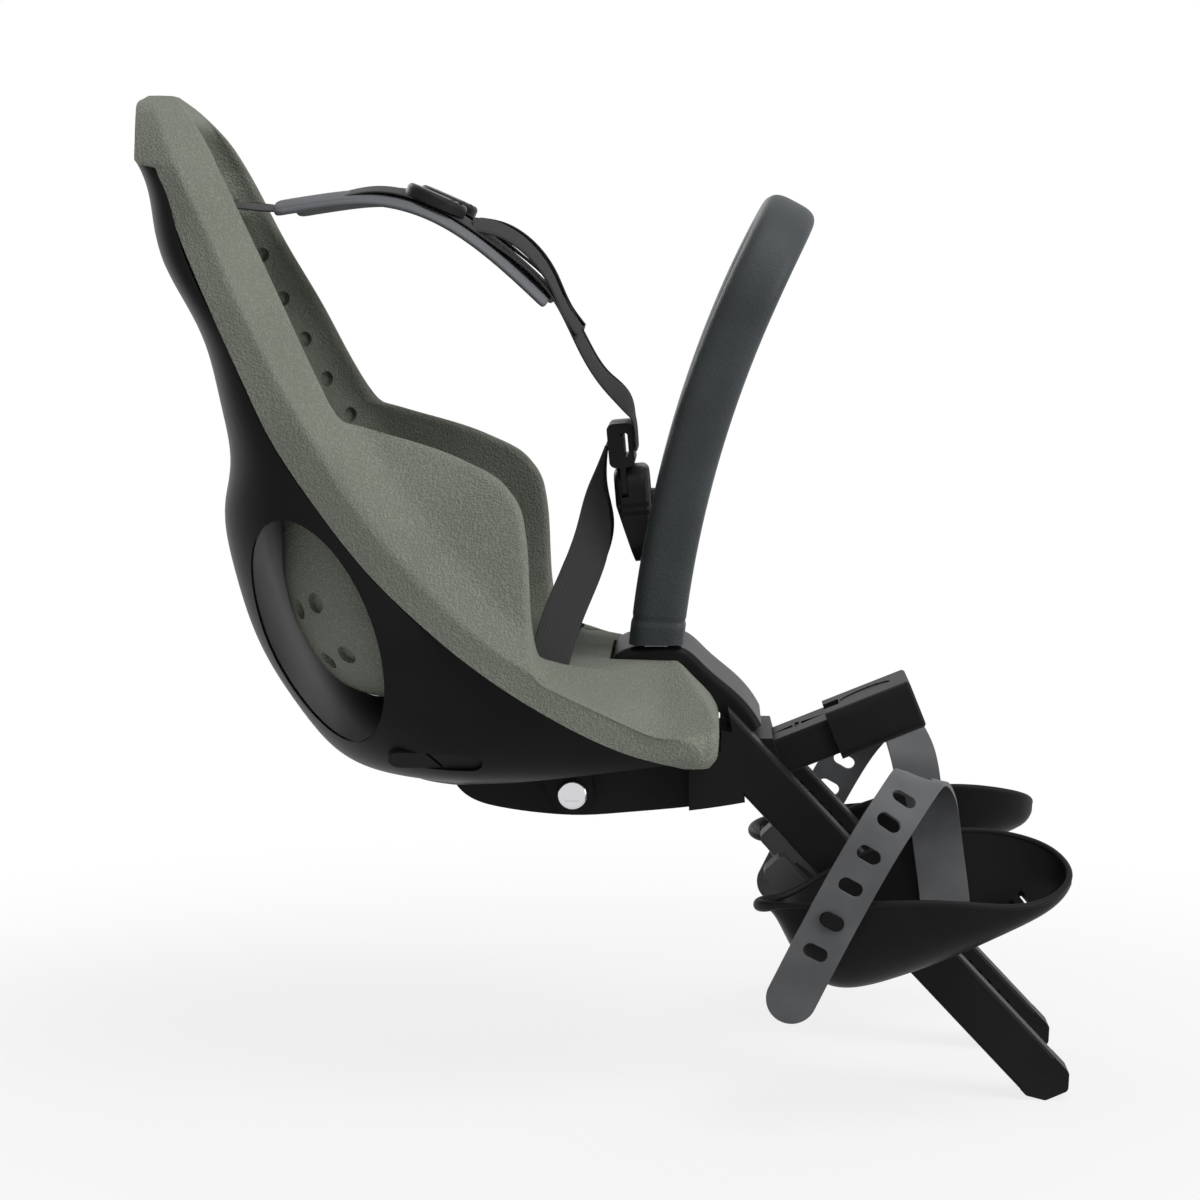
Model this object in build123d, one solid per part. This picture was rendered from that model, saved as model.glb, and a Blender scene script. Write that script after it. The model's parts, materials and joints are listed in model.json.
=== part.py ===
from build123d import *
import os
from math import atan2, cos, degrees, radians, sin, tan

# Front child seat for a bicycle: a foam-lined bucket on a base, with a quick-release arm, two legs
# that carry sliding foot cups, a padded hoop handle and a five-point harness.
# Frame, in millimetres: X forwards, Y to the child's left, Z up. The origin is the middle of the
# arm's end face, which meets the bicycle's bracket. Right-hand pieces lie at negative Y.

# Fits
SEAT_GAP = 0.3          # between pieces that lie against each other
EDGE_GAP = 0.7          # between the shell's edge and the liner's rim
SLIDE_GAP = 0.3         # each side of a piece that slides on another
PIN_GAP = 0.05          # radial, a pin in its bore
REACH = 200.0           # cutting tools run this far past the model

# Outer shell, level sections: height, rear, half width, depth and width of the rear corner
SHELL_WALL = 3.0
SHELL_SECTIONS = [
    (-41, -276, 64, 60, 50), (-34, -298, 84, 66, 60), (-22, -318, 100, 74, 70), (-5, -331, 111, 78, 72),
    (15, -343, 120, 80, 72), (45, -357, 128, 80, 72), (80, -367, 129, 70, 70), (115, -370, 126, 56, 64),
    (150, -369, 119, 34, 60), (180, -376, 110, 25, 56), (212, -389, 98, 20, 52), (236, -403, 88, 18, 48),
    (260, -410, 81, 17, 44), (285, -416, 73, 13, 40), (310, -419, 60, 8, 34),
]
SHELL_FRONT = -110.0
SHELL_TOP = (-416.0, 291.0)
SHELL_TOP_LEAN = 10.0
FLOOR_REAR = (-250.0, -41.0)
FLOOR_SLOPE = 9.0
WINDOW_CENTRE = (-318.0, 45.0)
WINDOW_LENGTH = 116.0
WINDOW_WIDTH = 50.0
WINDOW_TILT = 19.0
WINDOW_BEVEL = 9.0
ANCHOR_CENTRE = (-257.0, -98.0, -21.0)
ANCHOR_LEAN = 42.0
ANCHOR_LENGTH = 50.0
ANCHOR_HEIGHT = 13.0
ANCHOR_THICKNESS = 4.5
ANCHOR_GROOVE = 1.5
ANCHOR_GROOVE_TURN = 35.0
EAR_THICKNESS = 4.5
EAR_RADIUS = 11.5
EAR_ROOT = (34.0, 12.0)

# Foam liner. Rim sections: height, then fore-aft place and half width of the shell's edge, of the
# ridge, of the end of the inner bevel, and the half width at the front
RIM_SECTIONS = [
    (-21, -126, 122, -122, 122, -112, 119, 118), (-16, -146, 125, -137, 125.5, -121, 120.5, 118),
    (-10, -163, 127, -150, 128, -130, 122, 118),
    (5, -193, 129, -172, 130, -147, 122, 116), (25, -225, 130, -208, 131, -182, 121, 108),
    (45, -251, 130, -231, 132, -204, 122, 118), (80, -288, 129, -266, 132, -237, 122, 118),
    (115, -316, 126, -295, 130, -267, 117, 116), (150, -340, 119, -318, 124, -292, 104, 106),
    (179, -355, 110, -336, 114, -310, 89, 90), (213, -372, 98, -355, 102, -327, 80, 80),
    (251, -390, 83, -374, 86, -347, 61, 61), (285, -403, 73, -391, 77, -364, 55, 55),
    (303, -418, 62, -402, 65, -373, 44, 44), (317, -420, 46, -409, 48, -384, 24, 24),
    (327, -418, 20, -412, 22, -398, 8, 8),
]
BODY_SECTIONS = [
    (9, -300, 88, 44, 50), (14, -310, 100, 50, 56), (24, -320, 110, 54, 58), (39, -329, 118, 56, 60),
    (57, -336, 122, 56, 60), (80, -340, 123, 52, 60), (115, -340, 120, 40, 58), (150, -342, 103, 24, 54),
    (190, -359, 84, 14, 46),
]
HOLLOW_SECTIONS = [
    (27, -262, 84, 40, 45), (31, -284, 96, 46, 50), (40, -302, 105, 50, 56), (55, -313, 110, 52, 60),
    (80, -319, 112, 50, 62), (115, -319, 109, 40, 62), (150, -322, 101, 28, 60), (179, -336.5, 90, 20, 58),
    (213, -353, 81, 18, 54), (251, -370, 63, 15, 42), (285, -385, 57, 13, 40), (303, -392.5, 47, 12, 34),
    (317, -399, 27, 7, 20), (334, -407, 10, 3, 6),
]
LINER_NOSE = -108.0
BODY_FRONT = -140.0
# The rim in the side view: down the back, along the wing, and down its front to the thighs
BACK_CREST = [
    (-404, 327.5), (-395.5, 320), (-377, 296), (-354.6, 251), (-334.6, 213), (-317.7, 179), (-305, 157),
]
WING_TOP = [(-305, 157), (-282, 151), (-249, 141), (-228, 132)]
WING_FRONT = [(-228, 132), (-212, 115), (-207, 90), (-205, 46)]
WING_CLEAR = 64.0
THIGH_TOP = [(-205, 46), (-192, 33), (-137, 31), (-123, 18), (-111, 4.5), (-100, -6)]
# Crest of a thigh pad, from the foot of the wing in to the console; outside it the foam falls away
THIGH_CREST = [(-190, -90, 33), (-136, -45, 22.5)]
THIGH_FALL = 0.35
THIGH_REAR = -203.0
VENT_RADIUS = 4.2
VENT_SPREAD = 40.0
BACK_VENTS = [(-360, 243), (-349, 218.5), (-338, 194), (-326.5, 172), (-314, 152)]
SIDE_VENTS = [(-328, 58), (-318, 63), (-313, 31), (-302, 36)]
SIDE_VENT_DEPTH = 26.0
VENT_REACH = 100.0
SLOT_HEIGHT = 268.0
SLOT_WIDTH = 31.0
SLOT_GAP = 5.0

# Base under the seat, its profile from the rear down and forwards
BASE_PROFILE = [(-243, -48), (-225, -54), (-203, -57), (-181, -58), (-159, -56.5), (-128, -53.6)]
BASE_HALF_WIDTH = 50.0
BASE_NOSE_START = -124.0
BASE_NOSE_WALL = 6.0
SEAM_TOP = (-101.0, -10.5)
SEAM_FOOT = (-94.0, -48.5)
SCREW_PLACES = [(30.0, 30.0), (30.0, -30.0), (96.0, 30.0), (96.0, -30.0)]
SCREW_RADIUS = 2.5
SCREW_HEAD_RADIUS = 5.0
SCREW_HEAD_HEIGHT = 3.0
SCREW_LENGTH = 12.0
BOLT_PLACE = (-186.6, -45.7)
BOLT_RADIUS = 4.0
BOLT_HEAD_RADIUS = 8.0
BOLT_HEAD_HEIGHT = 4.0
BOLT_HEAD_ROUND = 1.6
BOLT_SLOT_WIDTH = 3.0
BOLT_SLOT_DEPTH = 1.5

# Console between the thighs: top line from the rear tip to the foot, and its underside back again
CONSOLE_TOP = [(-166, 24), (-161, 30), (-150, 32.2), (-126, 31), (-115, 21.5), (-97, 6), (-85, -10)]
CONSOLE_UNDER = [(-91, -15), (-104, -6), (-118, 5), (-129, 15), (-140, 21), (-150, 23)]
CONSOLE_EDGE = 4.0
CONSOLE_SLOT = 40.0
NOTCH_HALF_WIDTH = 42.0
NOTCH_REAR = -167.0

# Arm and its sleeve, measured along the arm back from the end face
ARM_ANGLE = 22.0
ARM_ROOT = 92.0
ARM_TIP = 26.0
ARM_HALF_WIDTH = 25.0
ARM_HEIGHT = 20.0
ARM_EDGE = 2.0
SLEEVE_LENGTH = 49.0
SLEEVE_WALL = 3.2
SLEEVE_END = 4.0
SLEEVE_EDGE = 5.0
SLEEVE_TIP_EDGE = 2.0
SLEEVE_DIP = (30.0, 22.0, 0.6)
SLEEVE_NOTCH_WIDTH = 18.0
SLEEVE_NOTCH_LENGTH = 9.0
ARROW_LENGTH = 15.0
ARROW_WIDTH = 8.0
ARROW_DEPTH = 1.0
ARROW_PLACE = 66.0
ARROW_SLOT = 2.5
YOKE_FRONT = 22.0
YOKE_EDGE = 6.5

# Legs, measured down from the middle of a leg's top at the base's seam
LEG_TOP = (-115.2, -4.6)
LEG_ANGLE = 46.8
LEG_LENGTH = 262.0
LEG_WIDTH = 25.5
LEG_THICKNESS = 20.0
LEG_CENTRE = 52.5
LEG_EDGE = 2.0
RACK_DEPTH = 6.0
RACK_WIDTH = 9.5
RACK_SHIFT = -2.0
RACK_START = 12.0
RACK_PITCH = 7.8
RACK_TEETH = 23
RACK_SCALLOP = 3.1
CAP_LENGTH = 18.0
CAP_HEEL = 4.5
CAP_BEND = 13.5
CAP_SHOULDER = 11.0
CAP_TIP_DROP = 7.0
CAP_TIP_RISE = 5.6
CAP_ROUND = 3.0
PIN_PLACE = (6.6, -3.5)
PIN_RADIUS = 2.8

# Foot cups: fore-aft station, then side and height of the outer rim, of the sole, and of the inner rim
CUP_SECTIONS = [
    (-86, 116, -92, 109, -98, 100, -93), (-70, 136, -89.7, 108, -117, 78, -94.5),
    (-48, 144, -88, 106, -137.5, 71, -83), (-20, 148, -86, 106, -133.5, 69, -71),
    (10, 147, -86, 106, -121.5, 69, -63), (40, 140, -89, 107, -105.5, 71, -62.5),
    (62, 128, -87, 108, -94.5, 80, -67), (75, 113, -80, 108, -83, 98, -74),
]
CUP_WALL = 2.6
CUP_LIP = 0.5
TOE_CENTRE = (14.0, 108.0)
TOE_RADII = [22.0, 28.0, 34.0, 40.0]
TOE_SLOT = 2.4
TOE_ANGLE = 26.0
CARRIAGE_PLACE = 140.0
CARRIAGE_LENGTH = 38.0
CARRIAGE_WALL = 3.2
CARRIAGE_SIDE = 82.0
PEG_PLACE = (-50.6, -93.4)
PEG_LENGTH = 10.0
PEG_HEIGHT = 5.5
PEG_NECK = 15.5
PEG_HEAD = 2.5
PEG_HEAD_RIM = 2.2
LEVER_PIVOT = (126.0, -21.5)
LEVER_BARREL = 4.2
LEVER_PIN_RADIUS = 2.0
LEVER_TIP = 81.0
LEVER_BLOCK = 25.0
LEVER_BLOCK_TOP = -19.8
LEVER_BLOCK_FOOT = -35.0
LEVER_WIDTH = 16.0
LEVER_ROUND = 4.0
LEVER_ARM_LAP = 2.0
LEVER_ARM_DROP = 6.0
LUG_THICKNESS = 4.0
LUG_SPAN = 9.0

# Foot straps: stations from the inner wall of the cup, over the foot and down the outside
STRAP_WIDTH = 26.0
STRAP_THICKNESS = 2.4
STRAP_ROUTE = [
    ((11.5, 87, -98), (1, 0, 0)), ((10, 80.6, -84), (1, 0, 0)), ((8, 76, -68), (1, 0, -0.03)),
    ((5, 79, -46), (1, 0, -0.1)), ((0, 94, -28), (1, 0, -0.2)), ((-5, 115, -21), (1, 0, -0.3)),
    ((-13, 136, -27), (0.95, 0, -0.4)), ((-25, 149.5, -45), (0.9, 0, -0.45)),
    ((-37, 153, -68), (0.89, 0, -0.46)), ((-52, 154, -96), (0.89, 0, -0.46)),
    ((-79, 154, -150), (0.89, 0, -0.46)),
]
STRAP_HOLES = [(-24.2, -42.2), (-33.1, -59.2), (-41.6, -76.2), (-50.6, -93.4), (-58.8, -109.5)]
STRAP_BENDS = [5, 6]
STRAP_BORE = 6.0
STRAP_HOLE_LENGTH = 13.0
STRAP_HOLE_HEIGHT = 7.5
STRAP_LEAN = 27.0
STRAP_TAIL = (-71.0, -134.0)

# Hoop handle: it bends along a big circle in the side view, and is a splayed hoop seen from the front
BEND_CENTRE = (469.0, -27.0)
BEND_RADIUS = 614.0
HOOP_FOOT = (-142.5, 30.0)
HOOP_LEAN = 24.0
HOOP_HEIGHT = 250.0
HOOP_FOOT_SPREAD = 33.0
HOOP_TOP_SPREAD = 72.0
HOOP_SHOULDER = 192.0
HOOP_ROUND = 0.9
PAD_DEPTH = 29.0
PAD_WIDTH = 24.0
PAD_EDGE = 7.0
CORE_SIZE = 12.0
PAD_FOOT = 33.4

# Harness
WEB_THICKNESS = 1.4
WEB_WIDTH = 25.0
SHOULDER_PAD_WIDTH = 42.0
SHOULDER_PAD_THICKNESS = 7.0
# Middle line of a shoulder pad from the slot forwards: fore-aft, side, and height above the slot
PAD_ROUTE = [
    (-344, 43, -1), (-318, 43, 3), (-292, 42.5, 4.5), (-262, 41, -3), (-232, 38, -22), (-201, 34, -50),
]
WEB_LIFT = 4.8
WEB_SPREAD = 43.0
WEB_MOUTH = (-369.0, 1.0)
WEB_FALL = (-179.0, 28.0, -79.0)
WEB_LANDING = 12.0
SLIDER_PLACE = 3
SLIDER_LENGTH = 34.0
SLIDER_WIDTH = 34.0
SLIDER_THICKNESS = 6.5
SLIDER_CROWN = 2.5
SLIDER_BARS = [8.0, 12.5]
SLIDER_SLOT = 2.6
BUCKLE_FOOT = (-152.0, 76.0)
BUCKLE_LEAN = -5.0
BUCKLE_HEIGHT = 52.0
BUCKLE_WIDTH = 46.0
BUCKLE_DEPTH = 19.0
BUCKLE_EDGE = 4.0
BUCKLE_TAPER = (8.0, 32.0)
GRIP_HEIGHTS = [27.0, 31.5]
GRIP_WIDTH = 2.2
GRIP_DEPTH = 1.2
BUTTON_WIDTH = 20.0
BUTTON_HEIGHT = 24.0
BUTTON_DEPTH = 7.0
BUTTON_PROUD = 3.0
BUTTON_TRAVEL = 3.0
TONGUE_SPREAD = 12.5
TONGUE_GAP = 2.0
TONGUE_WIDTH = 21.0
TONGUE_THICKNESS = 3.0
TONGUE_LENGTH = 34.0
TONGUE_DEPTH = 16.0
TONGUE_ROUND = 3.0
LOOP_HEIGHT = 24.0
LOOP_DEPTH = 14.0
LOOP_ROUND = 3.5
LOOP_WINDOW = (4.0, 13.0)
LOOP_BAR = 3.0
# Hip strap below the tongue: points, and the direction of the width at each
HIP_ROUTE = [
    ((-177, 27, 120), (0.3, 1, 0)), ((-180, 42, 84), (0.9, 0.7, 0)),
    ((-190, 68, 48), (1, 0.5, 0.1)), ((-199, 88, 25), (1, 0.3, 0.2)),
]
HIP_SLOT = (-199.0, -90.0, 22.0)
HIP_WIDTH = 22.0
HIP_SLOT_DEPTH = 40.0
CROTCH_FOOT = (-149.0, 26.0)
CROTCH_BOW = 1.0
PLATE_LENGTH = 130.0
PLATE_HEIGHT = 16.0
PLATE_THICKNESS = 3.0


def side_points(points):
    """Points of the side view, put in the middle plane."""
    return [(x, 0, z) for x, z in points]


def side_prism(edges, low, high):
    """Solid from a closed outline in the middle plane, between two sides."""
    return Pos(0, low, 0) * extrude(make_face(edges), amount=high - low, dir=(0, 1, 0))


def level_section(height, rear, half_width, depth, corner, front):
    """Level section of a tub: square at the front, with elliptical corners at the rear."""
    straight = half_width - corner
    turn = rear + depth
    edges = [
        Line((front, -half_width), (turn, -half_width)),
        EllipticalCenterArc((turn, -straight), depth, corner, 180, arc_size=90),
        Line((rear, -straight), (rear, straight)),
        EllipticalCenterArc((turn, straight), depth, corner, 90, arc_size=90),
        Line((turn, half_width), (front, half_width)),
        Line((front, half_width), (front, -half_width)),
    ]
    return Pos(0, 0, height) * make_face(edges)


def tub(sections, front, inset=0.0):
    """Solid lofted through level sections, drawn in all round by an inset."""
    return loft([
        level_section(height, rear + inset, half_width - inset, depth - inset, corner - inset, front)
        for height, rear, half_width, depth, corner in sections
    ])


def ribbon(route, width, thickness):
    """Flat band lofted through stations, each a point and the direction of the band's width there."""
    points = [Vector(*point) for point, _ in route]
    sections = []
    for index, (_, across) in enumerate(route):
        along = points[min(index + 1, len(points) - 1)] - points[max(index - 1, 0)]
        along = along.normalized()
        side = Vector(*across)
        side = side - along * side.dot(along)
        plane = Plane(points[index], x_dir=side, z_dir=along)
        sections.append(plane * Rectangle(width, thickness))
    return loft(sections, ruled=True)


def right_side(points):
    """The same stations on the child's right."""
    return [((x, -y, z), across) for (x, y, z), across in points]


def floor_plane():
    """Plane of the shell's floor, which the base lies under, with X up its slope."""
    slope = radians(FLOOR_SLOPE)
    along = (cos(slope), 0, sin(slope))
    return Plane((FLOOR_REAR[0], 0, FLOOR_REAR[1]), x_dir=along, z_dir=(-sin(slope), 0, cos(slope)))


def arm_plane():
    """Plane of the arm's side view: X along the arm, Y up from it, Z to the right."""
    angle = radians(ARM_ANGLE)
    return Plane((0, 0, 0), x_dir=(cos(angle), 0, sin(angle)), z_dir=(0, -1, 0))


def leg_plane():
    """Plane of the legs' side view: X down the leg from its top, Y forwards of it, Z to the right."""
    angle = radians(LEG_ANGLE)
    return Plane((LEG_TOP[0], 0, LEG_TOP[1]), x_dir=(cos(angle), 0, -sin(angle)), z_dir=(0, -1, 0))


def seam_tool():
    """Everything behind the seam between the base and what bolts on its front."""
    run = Vector(SEAM_TOP[0] - SEAM_FOOT[0], 0, SEAM_TOP[1] - SEAM_FOOT[1]).normalized()
    plane = Plane((SEAM_FOOT[0], 0, SEAM_FOOT[1]), x_dir=(0, 1, 0), z_dir=(-run.Z, 0, run.X))
    return extrude(plane * Rectangle(2 * REACH, 2 * REACH), amount=REACH)


def window_tool():
    """Bevelled oval that opens the shell's right side."""
    turn = Rot(0, 0, WINDOW_TILT)
    oval = turn * Ellipse(WINDOW_WIDTH / 2, WINDOW_LENGTH / 2)
    wide = turn * Ellipse(WINDOW_WIDTH / 2 + WINDOW_BEVEL, WINDOW_LENGTH / 2 + WINDOW_BEVEL)
    half_width = max(section[2] for section in SHELL_SECTIONS)
    place = Plane((WINDOW_CENTRE[0], 0, WINDOW_CENTRE[1]), x_dir=(1, 0, 0), z_dir=(0, -1, 0))
    return loft([place.offset(half_width / 2) * oval, place.offset(half_width + WINDOW_BEVEL) * wide])


def anchor_plane():
    """Plane on the shell's low right side, where the hip strap's anchor lies, with Z outwards."""
    lean = radians(ANCHOR_LEAN)
    x, y, z = ANCHOR_CENTRE
    return Plane((x, y, z), x_dir=(1, 0, 0), z_dir=(0, -cos(lean), -sin(lean)))


def both_sides(solid):
    """A right-hand solid with its mirror image."""
    return [solid, mirror(solid, about=Plane.XZ)]


def outer_shell():
    """Thin tub, cut off along the liner's rim, with windows, anchor slots and two ears for the cross bolt."""
    floor = floor_plane()
    under = Rectangle(4 * REACH, 2 * REACH)
    shell = tub(SHELL_SECTIONS, SHELL_FRONT) - extrude(floor * under, amount=-REACH)
    cavity = tub(SHELL_SECTIONS, SHELL_FRONT + SHELL_WALL, SHELL_WALL)
    cavity -= extrude(floor.offset(SHELL_WALL) * under, amount=-REACH)
    x, z = SHELL_TOP
    over = Pos(x, 0, z) * Rot(0, SHELL_TOP_LEAN, 0) * Box(
        REACH, 2 * REACH, REACH, align=(Align.CENTER, Align.CENTER, Align.MIN))
    shell -= [cavity, rim_tool(), over]
    slot = anchor_plane() * extrude(SlotOverall(ANCHOR_LENGTH, ANCHOR_HEIGHT), amount=6 * SHELL_WALL, both=True)
    shell -= both_sides(window_tool()) + both_sides(slot) + [core_socket()]
    shell += both_sides(shell_ear())
    screws = [floor * Pos(*place) * Cylinder(SCREW_RADIUS + PIN_GAP, 4 * SHELL_WALL) for place in SCREW_PLACES]
    return shell - (screws + [cross_bore()])


def rim_tool():
    """Everything in front of the liner's rear edge, and a little behind it."""
    edge = [(section[1] - EDGE_GAP, section[0]) for section in RIM_SECTIONS]
    rest = [edge[-1], (REACH, edge[-1][1]), (REACH, edge[0][1]), edge[0]]
    return side_prism([Spline(*side_points(edge)), Polyline(side_points(rest))], -REACH, REACH)


def shell_ear():
    """Tab that hangs from the shell's floor beside the base, round the cross bolt."""
    x, z = BOLT_PLACE
    floor = floor_plane()
    along = floor.to_local_coords(Vector(x, 0, z)).X
    shifts = (-EAR_ROOT[0] / 2, EAR_ROOT[1])
    root = [floor.from_local_coords((along + shift, 0, SHELL_WALL / 2)) for shift in shifts]
    outline = make_hull([
        CenterArc((x, z), EAR_RADIUS, 0, 360),
        Line((root[0].X, root[0].Z), (root[1].X, root[1].Z)),
    ])
    outer = BASE_HALF_WIDTH + SEAT_GAP + EAR_THICKNESS
    face = Plane((0, -outer, 0), x_dir=(1, 0, 0), z_dir=(0, -1, 0)) * outline
    return extrude(face, amount=EAR_THICKNESS, dir=(0, 1, 0))


def cross_bore():
    """Bore for the cross bolt, through the ears and the base."""
    x, z = BOLT_PLACE
    return Pos(x, 0, z) * Rot(90, 0, 0) * Cylinder(BOLT_RADIUS + PIN_GAP, 2 * REACH)


def front_tools():
    """What the liner's outline leaves away in front: above the back's crest, and above wings and thighs."""
    waist = WING_TOP[0]
    high = BACK_CREST[0][1] + REACH
    back = side_prism([
        Spline(*side_points(BACK_CREST)),
        Polyline(side_points([waist, (REACH, waist[1]), (REACH, high), (BACK_CREST[0][0], high), BACK_CREST[0]])),
    ], -REACH, REACH)
    lift = (waist[0] + WING_CLEAR, waist[1] + WING_CLEAR)
    wing = side_prism([
        Spline(*side_points(WING_TOP)),
        Spline(*side_points(WING_FRONT)),
        Polyline(side_points(THIGH_TOP + [(REACH, THIGH_TOP[-1][1]), (REACH, lift[1]), lift, waist])),
    ], -REACH, REACH)
    return [back, wing]


def seat_liner():
    """Foam liner: a bevelled rim round a tub, hollowed for the child, with vents, slots and a console notch."""
    outline = front_tools()
    rim = liner_rim() - outline
    body = tub(BODY_SECTIONS, BODY_FRONT) - outline
    liner = rim + body - tub(HOLLOW_SECTIONS, REACH)
    return liner - (both_sides(thigh_tool()) + liner_cuts())


def thigh_tool():
    """Everything above the right thigh pad's outer slope, in front of the wing."""
    start, end = (Vector(*point) for point in THIGH_CREST)
    slope = Plane(start, x_dir=end - start, z_dir=Vector(0, -1, -THIGH_FALL).cross(end - start))
    above = extrude(slope * Rectangle(4 * REACH, 4 * REACH), amount=REACH)
    room = Box(2 * REACH, REACH, 2 * REACH, align=(Align.MIN, Align.MAX, Align.CENTER))
    return above & (Pos(THIGH_REAR, 0, 0) * room)


def liner_cuts():
    """Vents through the back and in the sides, slots for the straps, and the notch under the console."""
    cuts = []
    for x, z in BACK_VENTS:
        cuts += both_sides(Pos(x, -VENT_SPREAD, z) * Rot(0, 90, 0) * Cylinder(VENT_RADIUS, VENT_REACH))
    side = max(section[2] for section in BODY_SECTIONS)
    for x, z in SIDE_VENTS:
        cuts += both_sides(Pos(x, -side, z) * Rot(90, 0, 0) * Cylinder(VENT_RADIUS, 2 * SIDE_VENT_DEPTH))
    cuts += both_sides(Pos(slot_back(), -WEB_SPREAD, SLOT_HEIGHT) * Box(VENT_REACH, SLOT_WIDTH, SLOT_GAP))
    cuts += both_sides(Pos(*HIP_SLOT) * Box(HIP_WIDTH + 2 * SLOT_GAP, 4 * SLOT_GAP, HIP_SLOT_DEPTH))
    notch = Box(REACH, 2 * NOTCH_HALF_WIDTH, REACH, align=(Align.MIN, Align.CENTER, Align.CENTER))
    cuts.append(Pos(NOTCH_REAR, 0, 0) * notch)
    return cuts


def liner_rim():
    """Solid whose skin is the liner's rim, before it is hollowed."""
    return loft([rim_section(*section) for section in RIM_SECTIONS])


def rim_section(height, edge, edge_half, ridge, ridge_half, bevel, bevel_half, front_half):
    """Level section of the rim: from the shell's edge out to the ridge, in along the bevel, and forwards."""
    half = [(LINER_NOSE, front_half), (bevel, bevel_half), (ridge, ridge_half), (edge, edge_half)]
    points = half + [(x, -y) for x, y in reversed(half)]
    return Pos(0, 0, height) * make_face(Polyline(points, close=True))


def mount_base():
    """Block under the seat: a curved belly, and a wide nose whose front face is the seam."""
    floor = floor_plane()
    liner_foot = RIM_SECTIONS[0][0] - SEAT_GAP
    wall = SEAM_TOP[0] - BASE_NOSE_WALL
    block = side_prism([
        Spline(*side_points([FLOOR_REAR] + BASE_PROFILE + [SEAM_FOOT])),
        Polyline(side_points([
            SEAM_FOOT, SEAM_TOP, (wall, SEAM_TOP[1]), (wall, liner_foot), (BASE_NOSE_START, liner_foot),
            FLOOR_REAR,
        ])),
    ], -leg_outside(), leg_outside())
    cut = Pos(BASE_NOSE_START - REACH, 0, 0)
    for tool in both_sides(cut * Pos(0, -BASE_HALF_WIDTH - REACH / 2, 0) * Box(2 * REACH, REACH, REACH)):
        block -= tool
    for place in SCREW_PLACES:
        block -= floor * Pos(*place, -SCREW_LENGTH / 2) * Cylinder(SCREW_RADIUS + PIN_GAP, SCREW_LENGTH)
    return block - cross_bore()


def leg_outside():
    """Half the width over both legs."""
    return LEG_CENTRE + LEG_THICKNESS / 2


def base_screws():
    """Pan-head screws from the shell's floor down into the base."""
    floor = floor_plane()
    shank = Pos(0, 0, (SHELL_WALL - SCREW_LENGTH) / 2) * Cylinder(SCREW_RADIUS, SCREW_LENGTH + SHELL_WALL)
    head = Pos(0, 0, SHELL_WALL + SCREW_HEAD_HEIGHT / 2) * Cylinder(SCREW_HEAD_RADIUS, SCREW_HEAD_HEIGHT)
    return [floor * Pos(*place) * (shank + head) for place in SCREW_PLACES]


def bolt_head():
    """Domed round head with a half slot, standing on its flat face at zero height."""
    head = Cylinder(BOLT_HEAD_RADIUS, BOLT_HEAD_HEIGHT, align=(Align.CENTER, Align.CENTER, Align.MIN))
    head = fillet(head.edges().group_by(Axis.Z)[-1], BOLT_HEAD_ROUND)
    slot = Box(BOLT_HEAD_RADIUS, BOLT_SLOT_WIDTH, 2 * BOLT_SLOT_DEPTH)
    return head - Pos(0, -BOLT_HEAD_RADIUS / 4, BOLT_HEAD_HEIGHT) * slot


def lock_bolt():
    """Cross bolt: its head on the right ear and its shank through to the nut."""
    x, z = BOLT_PLACE
    face = BASE_HALF_WIDTH + SEAT_GAP + EAR_THICKNESS
    shank = Cylinder(BOLT_RADIUS, 2 * face, align=(Align.CENTER, Align.CENTER, Align.MAX))
    return Pos(x, -face, z) * Rot(90, 0, 0) * (bolt_head() + shank)


def lock_nut():
    """Cap nut on the left ear."""
    x, z = BOLT_PLACE
    face = BASE_HALF_WIDTH + SEAT_GAP + EAR_THICKNESS
    return Pos(x, face, z) * Rot(-90, 0, 0) * bolt_head()


def front_console():
    """Cover between the thighs, rounded along its edges, with sockets for the handle and a strap slot."""
    cover = side_prism(
        [Spline(*side_points(CONSOLE_TOP)),
         Polyline(side_points([CONSOLE_TOP[-1]] + CONSOLE_UNDER + [CONSOLE_TOP[0]]))],
        SEAT_GAP - NOTCH_HALF_WIDTH, NOTCH_HALF_WIDTH - SEAT_GAP)
    upper = [edge for edge in cover.edges().filter_by(GeomType.BSPLINE)]
    cover = fillet(upper, CONSOLE_EDGE)
    cover -= core_socket()
    x, z = CROTCH_FOOT
    slot = Pos(x, 0, z) * Box(WEB_THICKNESS + 2 * SEAT_GAP, WEB_WIDTH + 2 * SEAT_GAP, CONSOLE_SLOT)
    return cover - slot


def hoop(depth, width, foot):
    """Hoop of a square section: a bent band in the side view and a splayed arch seen along it."""
    x, z = BEND_CENTRE
    ring = make_face(CenterArc((x, z), BEND_RADIUS + depth / 2, 0, 360))
    ring -= make_face(CenterArc((x, z), BEND_RADIUS - depth / 2, 0, 360))
    place = Plane((0, REACH, 0), x_dir=(1, 0, 0), z_dir=(0, -1, 0))
    band = extrude(place * ring, amount=2 * REACH)
    lean = radians(HOOP_LEAN)
    front = Plane((HOOP_FOOT[0], 0, HOOP_FOOT[1]), x_dir=(0, 1, 0), z_dir=(cos(lean), 0, -sin(lean)))
    inset = (PAD_WIDTH - width) / 2
    arch = arch_face(inset) - arch_face(inset + width)
    solid = extrude(front * arch, amount=REACH, both=True) & band
    return solid - Pos(0, 0, foot - REACH) * Box(6 * REACH, 2 * REACH, 2 * REACH)


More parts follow.
